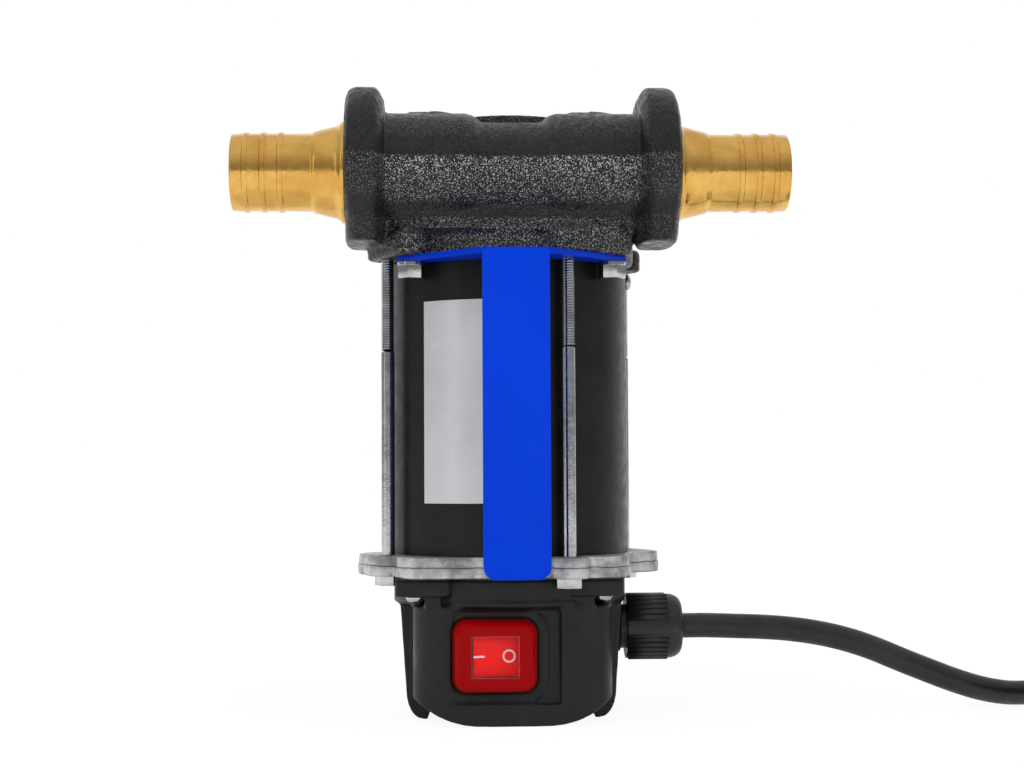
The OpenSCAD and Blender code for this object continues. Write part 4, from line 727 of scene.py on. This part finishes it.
# Studio lamps: place and size in metres, and power
LAMPS = {
    "key": ((-0.9, -1.3, 1.3), (1.7, 1.7), 13.0),
    "fill": ((1.3, -1.1, 0.8), (1.4, 1.4), 8.0),
    "low": ((0.1, -1.3, 0.05), (2.0, 0.5), 5.0),
    "strip": ((-1.3, -0.9, 0.4), (0.2, 1.6), 1.0),
}
LIT_POINT = (0, 0, 0.13)
FLOOR_HALF, FLOOR_DROP = 4.0, 0.2
GLOW, AMBIENT = 1.05, 0.55


class PUMP_OT_stage(Operator):
    """Sets the white floor, the backdrop and the soft studio light"""

    bl_idname = "pump.stage"
    bl_label = "Stage"

    def execute(self, context):
        bm = bmesh.new()
        bmesh.ops.create_grid(bm, x_segments=1, y_segments=1, size=FLOOR_HALF)
        bmesh.ops.translate(bm, vec=mm(0, 0, -FLOOR_DROP), verts=bm.verts)
        floor = mesh_object(bm, "floor")
        floor.data.materials.append(self.floor_finish(context.scene.pump_colours.floor))
        self.light()
        self.surround(context.scene)
        return {"FINISHED"}

    def floor_finish(self, colour):
        """White where the camera sees it, and dim near the pump in the pump's own reflections, a painted
        shadow of the pump on the floor.
        """
        mat = bpy.data.materials.new("floor")
        mat.use_nodes = True
        tree = mat.node_tree
        bsdf = tree.nodes["Principled BSDF"]
        for key, value in (("Base Color", (*colour, 1)), ("Roughness", 0.8), ("Specular IOR Level", 0.0)):
            bsdf.inputs[key].default_value = value
        path = add(tree, "ShaderNodeLightPath").outputs
        far = vector(tree, "LENGTH", add(tree, "ShaderNodeTexCoord").outputs["Object"], out="Value")
        # Painted shadow: reflections see the floor at 0.3 within about 0.2 m of the pump, and white beyond
        mirrored = span(tree, far, 0.18, 0.23, 0.3, 1.0, smooth=True)
        glossy = calc(tree, "MULTIPLY", path["Is Glossy Ray"], mirrored)
        seen = calc(tree, "ADD", path["Is Camera Ray"], glossy)
        seen = calc(tree, "ADD", seen, path["Is Transmission Ray"], clamp=True)
        share = calc(tree, "MULTIPLY", seen, span(tree, far, 0.12, 0.7, 0.88, 1.0, smooth=True))
        glow = add(tree, "ShaderNodeEmission", {"Color": WHITE, "Strength": GLOW})
        put(tree, tree.nodes["Material Output"].inputs["Surface"],
            shared(tree, share, bsdf.outputs[0], glow.outputs[0]))
        return mat

    def light(self):
        for name, (place, size, power) in LAMPS.items():
            data = bpy.data.lights.new(name, "AREA")
            data.shape = "RECTANGLE"
            data.size, data.size_y = size
            data.energy = power
            lamp = new_object(name, data)
            lamp.visible_glossy = name == "strip"
            lamp.location = place
            lamp.rotation_mode = "QUATERNION"
            lamp.rotation_quaternion = (Vector(LIT_POINT) - Vector(place)).to_track_quat("-Z", "Y")

    def surround(self, scene):
        """A white world that glossy surfaces mirror dim in front and white behind."""
        world = bpy.data.worlds.new("studio")
        world.use_nodes = True
        scene.world = world
        tree = world.node_tree
        path = add(tree, "ShaderNodeLightPath").outputs
        parts = split(tree, add(tree, "ShaderNodeTexCoord").outputs["Generated"])
        up = span(tree, parts["Z"], 0.1, 0.95, 0.32, 0.75, smooth=True)
        back = span(tree, parts["Y"], 0.1, 0.85, smooth=True)
        mirrored, ambient, white = (
            add(tree, "ShaderNodeBackground", {"Color": WHITE, "Strength": strength}).outputs[0]
            for strength in (calc(tree, "MAXIMUM", up, back), AMBIENT, 1.0)
        )
        shiny = shared(tree, path["Is Glossy Ray"], ambient, mirrored)
        seen = calc(tree, "ADD", path["Is Camera Ray"], path["Is Transmission Ray"], clamp=True)
        put(tree, tree.nodes["World Output"].inputs["Surface"], shared(tree, seen, shiny, white))


def blend_waist(mesh, z, reach, rounds):
    """Smooths the outer walls about a height, most in the middle, as a casting's fillet does."""
    bm = bmesh.new()
    bm.from_mesh(mesh)
    near = [v for v in bm.verts if abs(v.co.z / MM - z) < reach and v.co.xy.length > WAIST_R * MM]
    for k in range(rounds):
        span = reach * (1 - k / rounds * 0.5)
        bmesh.ops.smooth_vert(bm, verts=[v for v in near if abs(v.co.z / MM - z) < span], factor=0.5,
                              use_axis_x=True, use_axis_y=True, use_axis_z=True)
    bm.to_mesh(mesh)
    bm.free()
    mesh.update()


class PUMP_OT_head(Operator):
    """Gives the cast head and its cover their rounded, sandy skin"""

    bl_idname = "pump.head"
    bl_label = "Head"

    def execute(self, context):
        s = context.scene.pump_shape
        head = remeshed(copy_node("pump_body"), "head_casting", s.head_voxel, 3)
        blend_waist(head.data, WAIST_Z, WAIST_REACH, 45)
        roughen(head, 2.2, s.sand)
        tie_piece(head, "pump", "cast_black", ("pump_body",), angle=None)
        cover = remeshed(copy_node("pump_cover"), "cover_casting", 0.8, 3)
        roughen(cover, 2.0, s.sand * 0.7)
        tie_piece(cover, "pump", "cast_black", ("pump_cover",), angle=None)
        return {"FINISHED"}


class PUMP_OT_barbs(Operator):
    """Turns the two brass hose barbs"""

    bl_idname = "pump.barbs"
    bl_label = "Barbs"

    def execute(self, context):
        bore, seat = (12.7, -16.9), [(16.6, -16.9), (16.6, 0.0)]
        cone = [(21.2, 0.0), (21.7, 0.4), (21.75, 1.1), (21.4, 1.8), (20.7, 2.4), (20.0, 3.2), (19.5, 4.4),
                (19.2, 5.6), (18.8, 7.2), (18.2, 9.6), (17.6, 12.0), (17.25, 13.4), (16.7, 13.9),
                (16.45, 14.8)]
        crest = [(16.3, -0.3), (16.35, -0.1), (16.9, 0), (16.95, 0.2), (16.9, 1.9), (16.6, 2.15),
                 (16.4, 2.3)]
        starts = [BARB_END - (CRESTS - k) * CREST_PITCH for k in range(CRESTS)]
        mouth = [(16.25, 47.3), (16.0, 47.8), (15.6, 48.0), (13.0, 48.0), (12.7, 47.7)]
        profile = [bore, *seat, *cone, *((r, z + h) for z in starts for r, h in crest), *mouth, bore]
        for name, node, side in (("inlet_hose_barb", "inlet_barb", -1),
                                 ("outlet_hose_barb", "outlet_barb", 1)):
            bm = bmesh.new()
            lathe(bm, profile, mm(side * PORT_FACE, PORT_Y, PORT_Z), Vector((side, 0, 0)), 128)
            write_piece(bm, name, "pump", "brass", (node,), math.radians(40))
        return {"FINISHED"}


class PUMP_OT_handle(Operator):
    """Rounds the edges of the bent sheet handle"""

    bl_idname = "pump.handle"
    bl_label = "Handle"

    def execute(self, context):
        bm = flat_copy("handle")
        soften(bm, 0.45, math.radians(50))
        write_piece(bm, "handle_sheet", "pump", "blue_paint", ("handle",), math.radians(30))
        return {"FINISHED"}


def bolt(bm, place, head, length, thread_from, pitch):
    """A hexagon bolt, its head below the frame's origin and its shank above."""
    verts = prism(bm, hexagon(BOLT_FLATS), -head, 0, place)
    faces = {f for v in verts for f in v.link_faces}
    edges = {e for f in faces for e in f.edges if all(v in verts for v in e.verts)}
    inside = place.inverted()
    bevel(bm, [e for e in edges if all((inside @ v.co).z < -head * MM * 0.9 for v in e.verts)], 0.5, 0.6)
    axis, r = up_of(place), BOLT_D / 2
    shank = [(0, 0), (r - 0.12, 0), (r - 0.12, thread_from), (r - 0.5, thread_from + 0.3)]
    lathe(bm, shank, place @ Vector(), axis, 24)
    turns = int((length - thread_from) / pitch)
    root, crest = r - THREAD_ROOT, r - THREAD_CREST
    flank = ((root, 0), (crest, 0.42 * pitch), (crest, 0.58 * pitch), (root, pitch))
    made = [bm.verts.new(place @ mm(x, 0, thread_from + h)) for x, h in flank]
    edges = [bm.edges.new(pair) for pair in zip(made, made[1:])]
    bmesh.ops.spin(
        bm, geom=made + edges, cent=place @ Vector(), axis=axis,
        dvec=axis * (pitch * MM / THREAD_STEPS), angle=math.tau * turns, steps=THREAD_STEPS * turns,
    )


def pan_screw(bm, place, shank):
    """A pan screw, its seat on the frame's origin and its crown below."""
    r, core = PAN_D / 2, PAN_CORE / 2
    profile = [(0, shank), (core - 0.4, shank), (core, shank - 0.6), (core, 0), (r - 0.1, 0), (r, -0.2),
               (r - 0.05, -0.9), (r - 0.5, -1.7), (r - 1.3, -PAN_H + 0.15), (r - 2.2, -PAN_H), (0, -PAN_H)]
    lathe(bm, profile, place @ Vector(), up_of(place), 40)


def cross_cutter(bm, place, arm=2.1, width=0.5, depth=1.4, turn=0.35):
    """The cross recess of a pan head, as one outline."""
    quarter = ((arm, -width), (arm, width), (width, width))
    outline = []
    for k in range(4):
        c, s = math.cos(k * math.pi / 2 + turn), math.sin(k * math.pi / 2 + turn)
        outline += [(x * c - y * s, x * s + y * c) for x, y in quarter]
    prism(bm, outline, -PAN_H - 1, -PAN_H + depth, place)


class PUMP_OT_fasteners(Operator):
    """Makes the tie bolts, handle bolts, washers and small screws"""

    bl_idname = "pump.fasteners"
    bl_label = "Fasteners"

    def execute(self, context):
        pitch = context.scene.pump_shape.thread
        bolts, pair, washers = bmesh.new(), bmesh.new(), bmesh.new()
        for angle in TIE_ANGLES:
            bolt(bolts, at_angle(angle, TIE_R, FLANGE_Z), TIE_HEAD, TIE_LENGTH, TIE_THREAD, pitch)
        ring = [(3.1, 0), (5.6, 0), (5.8, 0.2), (5.8, 1.4), (5.6, 1.6), (3.1, 1.6), (3.1, 0)]
        for side in (-1, 1):
            place = at_angle(HANDLE_BOLT_ANGLE * side, HANDLE_BOLT_R, HEAD_Z - HANDLE_BOLT_DROP)
            bolt(pair, place, HANDLE_HEAD, HANDLE_BOLT_LENGTH, HANDLE_THREAD, pitch)
            lathe(washers, ring, place @ Vector(), Vector((0, 0, 1)), 40)
        for bm, name, node in (
            (bolts, "long_tie_bolts", "tie_bolts"), (pair, "handle_bolt_pair", "handle_bolts"),
            (washers, "handle_bolt_washers", "handle_washers"),
        ):
            write_piece(bm, name, "pump", "zinc", (node,), math.radians(35))
        corners = [Matrix.Translation(mm(x, y, CORNER_Z)) for x in CORNERS_X for y in (-CORNER_Y, CORNER_Y)]
        side = Matrix.Translation(mm(TUBE_R, 0, TUBE_SCREW_Z)) @ Matrix.Rotation(math.radians(-90), 4, "Y")
        sides = [Matrix.Rotation(turn, 4, "Z") @ side for turn in (0, math.pi)]
        for name, node, places, shank in (("corner_screws", "box_screws", corners, CORNER_SHANK),
                                          ("tube_screws", "side_screws", sides, TUBE_SHANK)):
            bm, cutter = bmesh.new(), bmesh.new()
            for place in places:
                pan_screw(bm, place, shank)
                cross_cutter(cutter, place)
            bmesh.ops.recalc_face_normals(bm, faces=bm.faces)
            tie_piece(cut_away(mesh_object(bm, name), cutter), "pump", "zinc", (node,))
        return {"FINISHED"}


class PUMP_OT_motor(Operator):
    """Finishes the tube, the bare label and the cast end flange"""

    bl_idname = "pump.motor"
    bl_label = "Motor"

    def execute(self, context):
        s = context.scene.pump_shape
        dress_node("motor_tube", "tube_paint")
        dress_node("nameplate", "label_foil")
        flange = remeshed(copy_node("end_flange"), "end_flange_casting", s.flange_voxel, 4)
        roughen(flange, 3.0, 0.07)
        for v in flange.data.vertices:
            if abs(v.normal.z) < 0.5 and v.co.z > PARTING_Z * MM and v.normal.dot(v.co) > 0:
                v.co -= v.normal * (PARTING_STEP * MM)
        tie_piece(flange, "pump", "cast_aluminium", ("end_flange",), angle=None)
        return {"FINISHED"}


class PUMP_OT_box(Operator):
    """Moulds the switch box, and finishes its gasket and the cable gland"""

    bl_idname = "pump.box"
    bl_label = "Switch box"

    def execute(self, context):
        bm = copy_node("switch_box")
        self.mould_lips(bm)
        box = remeshed(bm, "switch_box_shell", context.scene.pump_shape.box_voxel, 1)
        tie_piece(box, "pump", "black_plastic", ("switch_box",), angle=None)
        bm = copy_node("gland_nut")
        bmesh.ops.rotate(bm, cent=mm(0, 0, GLAND_Z), verts=bm.verts,
                         matrix=Matrix.Rotation(math.radians(NUT_TURN), 3, "X"))
        write_piece(bm, "ribbed_gland_nut", "pump", "gland_nylon", ("gland_nut",), math.radians(40))
        for node, finish in (
            ("gland_body", "gland_nylon"), ("gland_locknut", "gland_nylon"), ("box_gasket", "black_rubber"),
            ("gland_insert", "black_rubber"), ("cable_inner", "cable_sheath"),
        ):
            dress_node(node, finish)
        return {"FINISHED"}

    def mould_lips(self, bm):
        """The lip under the rim, the lines at two edges of the pocket and the webs beside the screws."""
        low, high, out = 50.0, 51.3, RIM_R + 0.4
        start = at_angle(-33, 0, 0)
        verts = [bm.verts.new(start @ mm(0, -r, z))
                 for r, z in ((RIM_R - 2, low), (out, low), (out, high), (RIM_R - 2, high))]
        face = bm.faces.new(verts)
        bmesh.ops.spin(bm, geom=[face, *face.edges, *verts], cent=(0, 0, 0), axis=(0, 0, 1),
                       angle=math.radians(66), steps=48)
        line, web = (-0.45, 1), (0.5, 8)
        for x0, x1, (near, far), z0, z1 in (
            (POCKET_RIGHT - 0.3, POCKET_RIGHT + 0.6, line, 9.0, 48.0),
            (POCKET_LEFT, POCKET_RIGHT + 0.6, line, 8.3, 9.1),
            (CORNERS_X[0] + 4.1, CORNERS_X[0] + 11, web, 49.0, 54.2),
            (CORNERS_X[1] - 11, CORNERS_X[1] - 4.1, web, 49.0, 54.2),
        ):
            y0, y1 = FRONT_Y + near, FRONT_Y + far
            prism(bm, ((x0, y0), (x1, y0), (x1, y1), (x0, y1)), z0, z1)


class PUMP_OT_switch(Operator):
    """Makes the clear red cap and the rocker with its two marks"""

    bl_idname = "pump.switch"
    bl_label = "Switch"

    def execute(self, context):
        cap = remeshed(copy_node("switch_cap"), "clear_cap", 0.4, 4)
        tie_piece(cap, "pump", "red_silicone", ("switch_cap",), angle=None)
        bm = flat_copy("rocker")
        soften(bm, 0.4, math.radians(60))
        write_piece(bm, "rocker_lever", "rocker", "red_plastic", ("rocker",))
        marks = bmesh.new()
        low, high, lean = -0.05, 0.06, math.atan2(1.6, 10)
        turn = Matrix.Translation(mm(SWITCH_X, ROCKER_Y, SWITCH_Z))
        turn = turn @ Matrix.Rotation(math.radians(10), 4, "Z")
        left = turn @ Matrix.Translation(mm(-7.55, -4.41, 0)) @ Matrix.Rotation(lean, 4, "Z")
        right = turn @ Matrix.Translation(mm(5.2, -4.03, 0)) @ Matrix.Rotation(-lean, 4, "Z")
        bar = ((-2.45, -0.4), (2.45, -0.4), (2.45, 0.4), (-2.45, 0.4))
        prism(marks, bar, low, high, left @ Matrix.Rotation(math.radians(90), 4, "X"))
        axis = (right.to_3x3() @ Vector((0, -1, 0))).normalized()
        ring = [(2.0, low), (2.7, low), (2.7, high), (2.0, high), (2.0, low)]
        lathe(marks, ring, right @ Vector(), axis, 40)
        write_piece(marks, "rocker_marks", "rocker", "red_plastic", finish="mark_white")
        dress_node("switch_housing", "black_plastic")
        dress_node("switch_terminals", "brass")
        return {"FINISHED"}


INSIDE = {
    "bearing_outer_rings": "bearing_steel", "bearing_inner_rings": "bearing_steel",
    "bearing_balls": "bearing_steel", "field_magnets": "ferrite", "armature_core": "core_steel",
    "armature_windings": "copper", "commutator": "copper", "motor_shaft": "bearing_steel",
    "brush_holder": "phenolic", "brushes": "carbon", "brush_springs": "spring_steel",
    "shaft_seal": "black_rubber", "pump_rotor": "sintered_steel", "vanes": "phenolic",
    "cover_seal": "black_rubber", "cover_screws": "cover_steel", "relief_poppet": "brass",
    "relief_plug": "cast_black", "barb_seals": "black_rubber",
}


class PUMP_OT_inside(Operator):
    """Finishes the pieces inside the motor and the head"""

    bl_idname = "pump.inside"
    bl_label = "Inside"

    def execute(self, context):
        for node, finish in INSIDE.items():
            dress_node(node, finish)
        bm = copy_node("relief_spring")
        coil = write_piece(bm, "relief_coil_spring", "pump", "spring_steel", ("relief_spring",),
                           math.radians(60))
        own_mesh(coil)
        return {"FINISHED"}


class PUMP_OT_clamps(Operator):
    """Finishes the battery clamps, the ties and the boot of the cable"""

    bl_idname = "pump.clamps"
    bl_label = "Clamps"

    def execute(self, context):
        for node, finish in (
            ("clamp_jaws_fixed", "clamp_steel"), ("jaw_moving_red", "clamp_steel"),
            ("jaw_moving_black", "clamp_steel"), ("clamp_pins", "clamp_steel"),
            ("clamp_springs", "spring_steel"), ("cable_ties", "tie_nylon"),
        ):
            dress_node(node, finish)
        for node, body, finish in (
            ("grip_fixed_red", "pump", "grip_red"), ("grip_fixed_black", "pump", "grip_black"),
            ("grip_moving_red", "clamp_red", "grip_red"),
            ("grip_moving_black", "clamp_black", "grip_black"),
        ):
            sleeve = remeshed(copy_node(node), node + "_sleeve", 0.35, 5)
            tie_piece(sleeve, body, finish, (node,), angle=None)
        boot = remeshed(copy_node("cable_boot"), "cable_split_boot", 0.4, 8)
        tie_piece(boot, "pump", "cable_sheath", ("cable_boot",), angle=None)
        return {"FINISHED"}


class PUMP_PT_panel(Panel):
    """Lists the steps that dress the pump"""

    bl_idname = "PUMP_PT_panel"
    bl_label = "Fuel transfer pump"
    bl_space_type = "VIEW_3D"
    bl_region_type = "UI"
    bl_category = "Pump"

    def draw(self, context):
        for step in STEPS:
            self.layout.operator(step.bl_idname)
        for group_name in SETTINGS:
            box = self.layout.box()
            settings = getattr(context.scene, group_name)
            for key in settings.__annotations__:
                box.prop(settings, key)


SETTINGS = {
    "pump_view": PumpView, "pump_cord": PumpCord, "pump_shape": PumpShape, "pump_colours": PumpColours,
}
STEPS = (
    PUMP_OT_camera, PUMP_OT_finishes, PUMP_OT_clamps, PUMP_OT_cords, PUMP_OT_head, PUMP_OT_barbs,
    PUMP_OT_handle, PUMP_OT_fasteners, PUMP_OT_motor, PUMP_OT_box, PUMP_OT_switch, PUMP_OT_inside,
    PUMP_OT_stage,
)


def register():
    for name, kind in SETTINGS.items():
        bpy.utils.register_class(kind)
        setattr(bpy.types.Scene, name, PointerProperty(type=kind))
    for kind in (*STEPS, PUMP_PT_panel):
        bpy.utils.register_class(kind)


def unregister():
    for kind in reversed((*STEPS, PUMP_PT_panel)):
        bpy.utils.unregister_class(kind)
    for name, kind in SETTINGS.items():
        delattr(bpy.types.Scene, name)
        bpy.utils.unregister_class(kind)


def main():
    register()
    for step in STEPS:
        area, name = step.bl_idname.split(".")
        getattr(getattr(bpy.ops, area), name)()


if __name__ == "__main__":
    main()
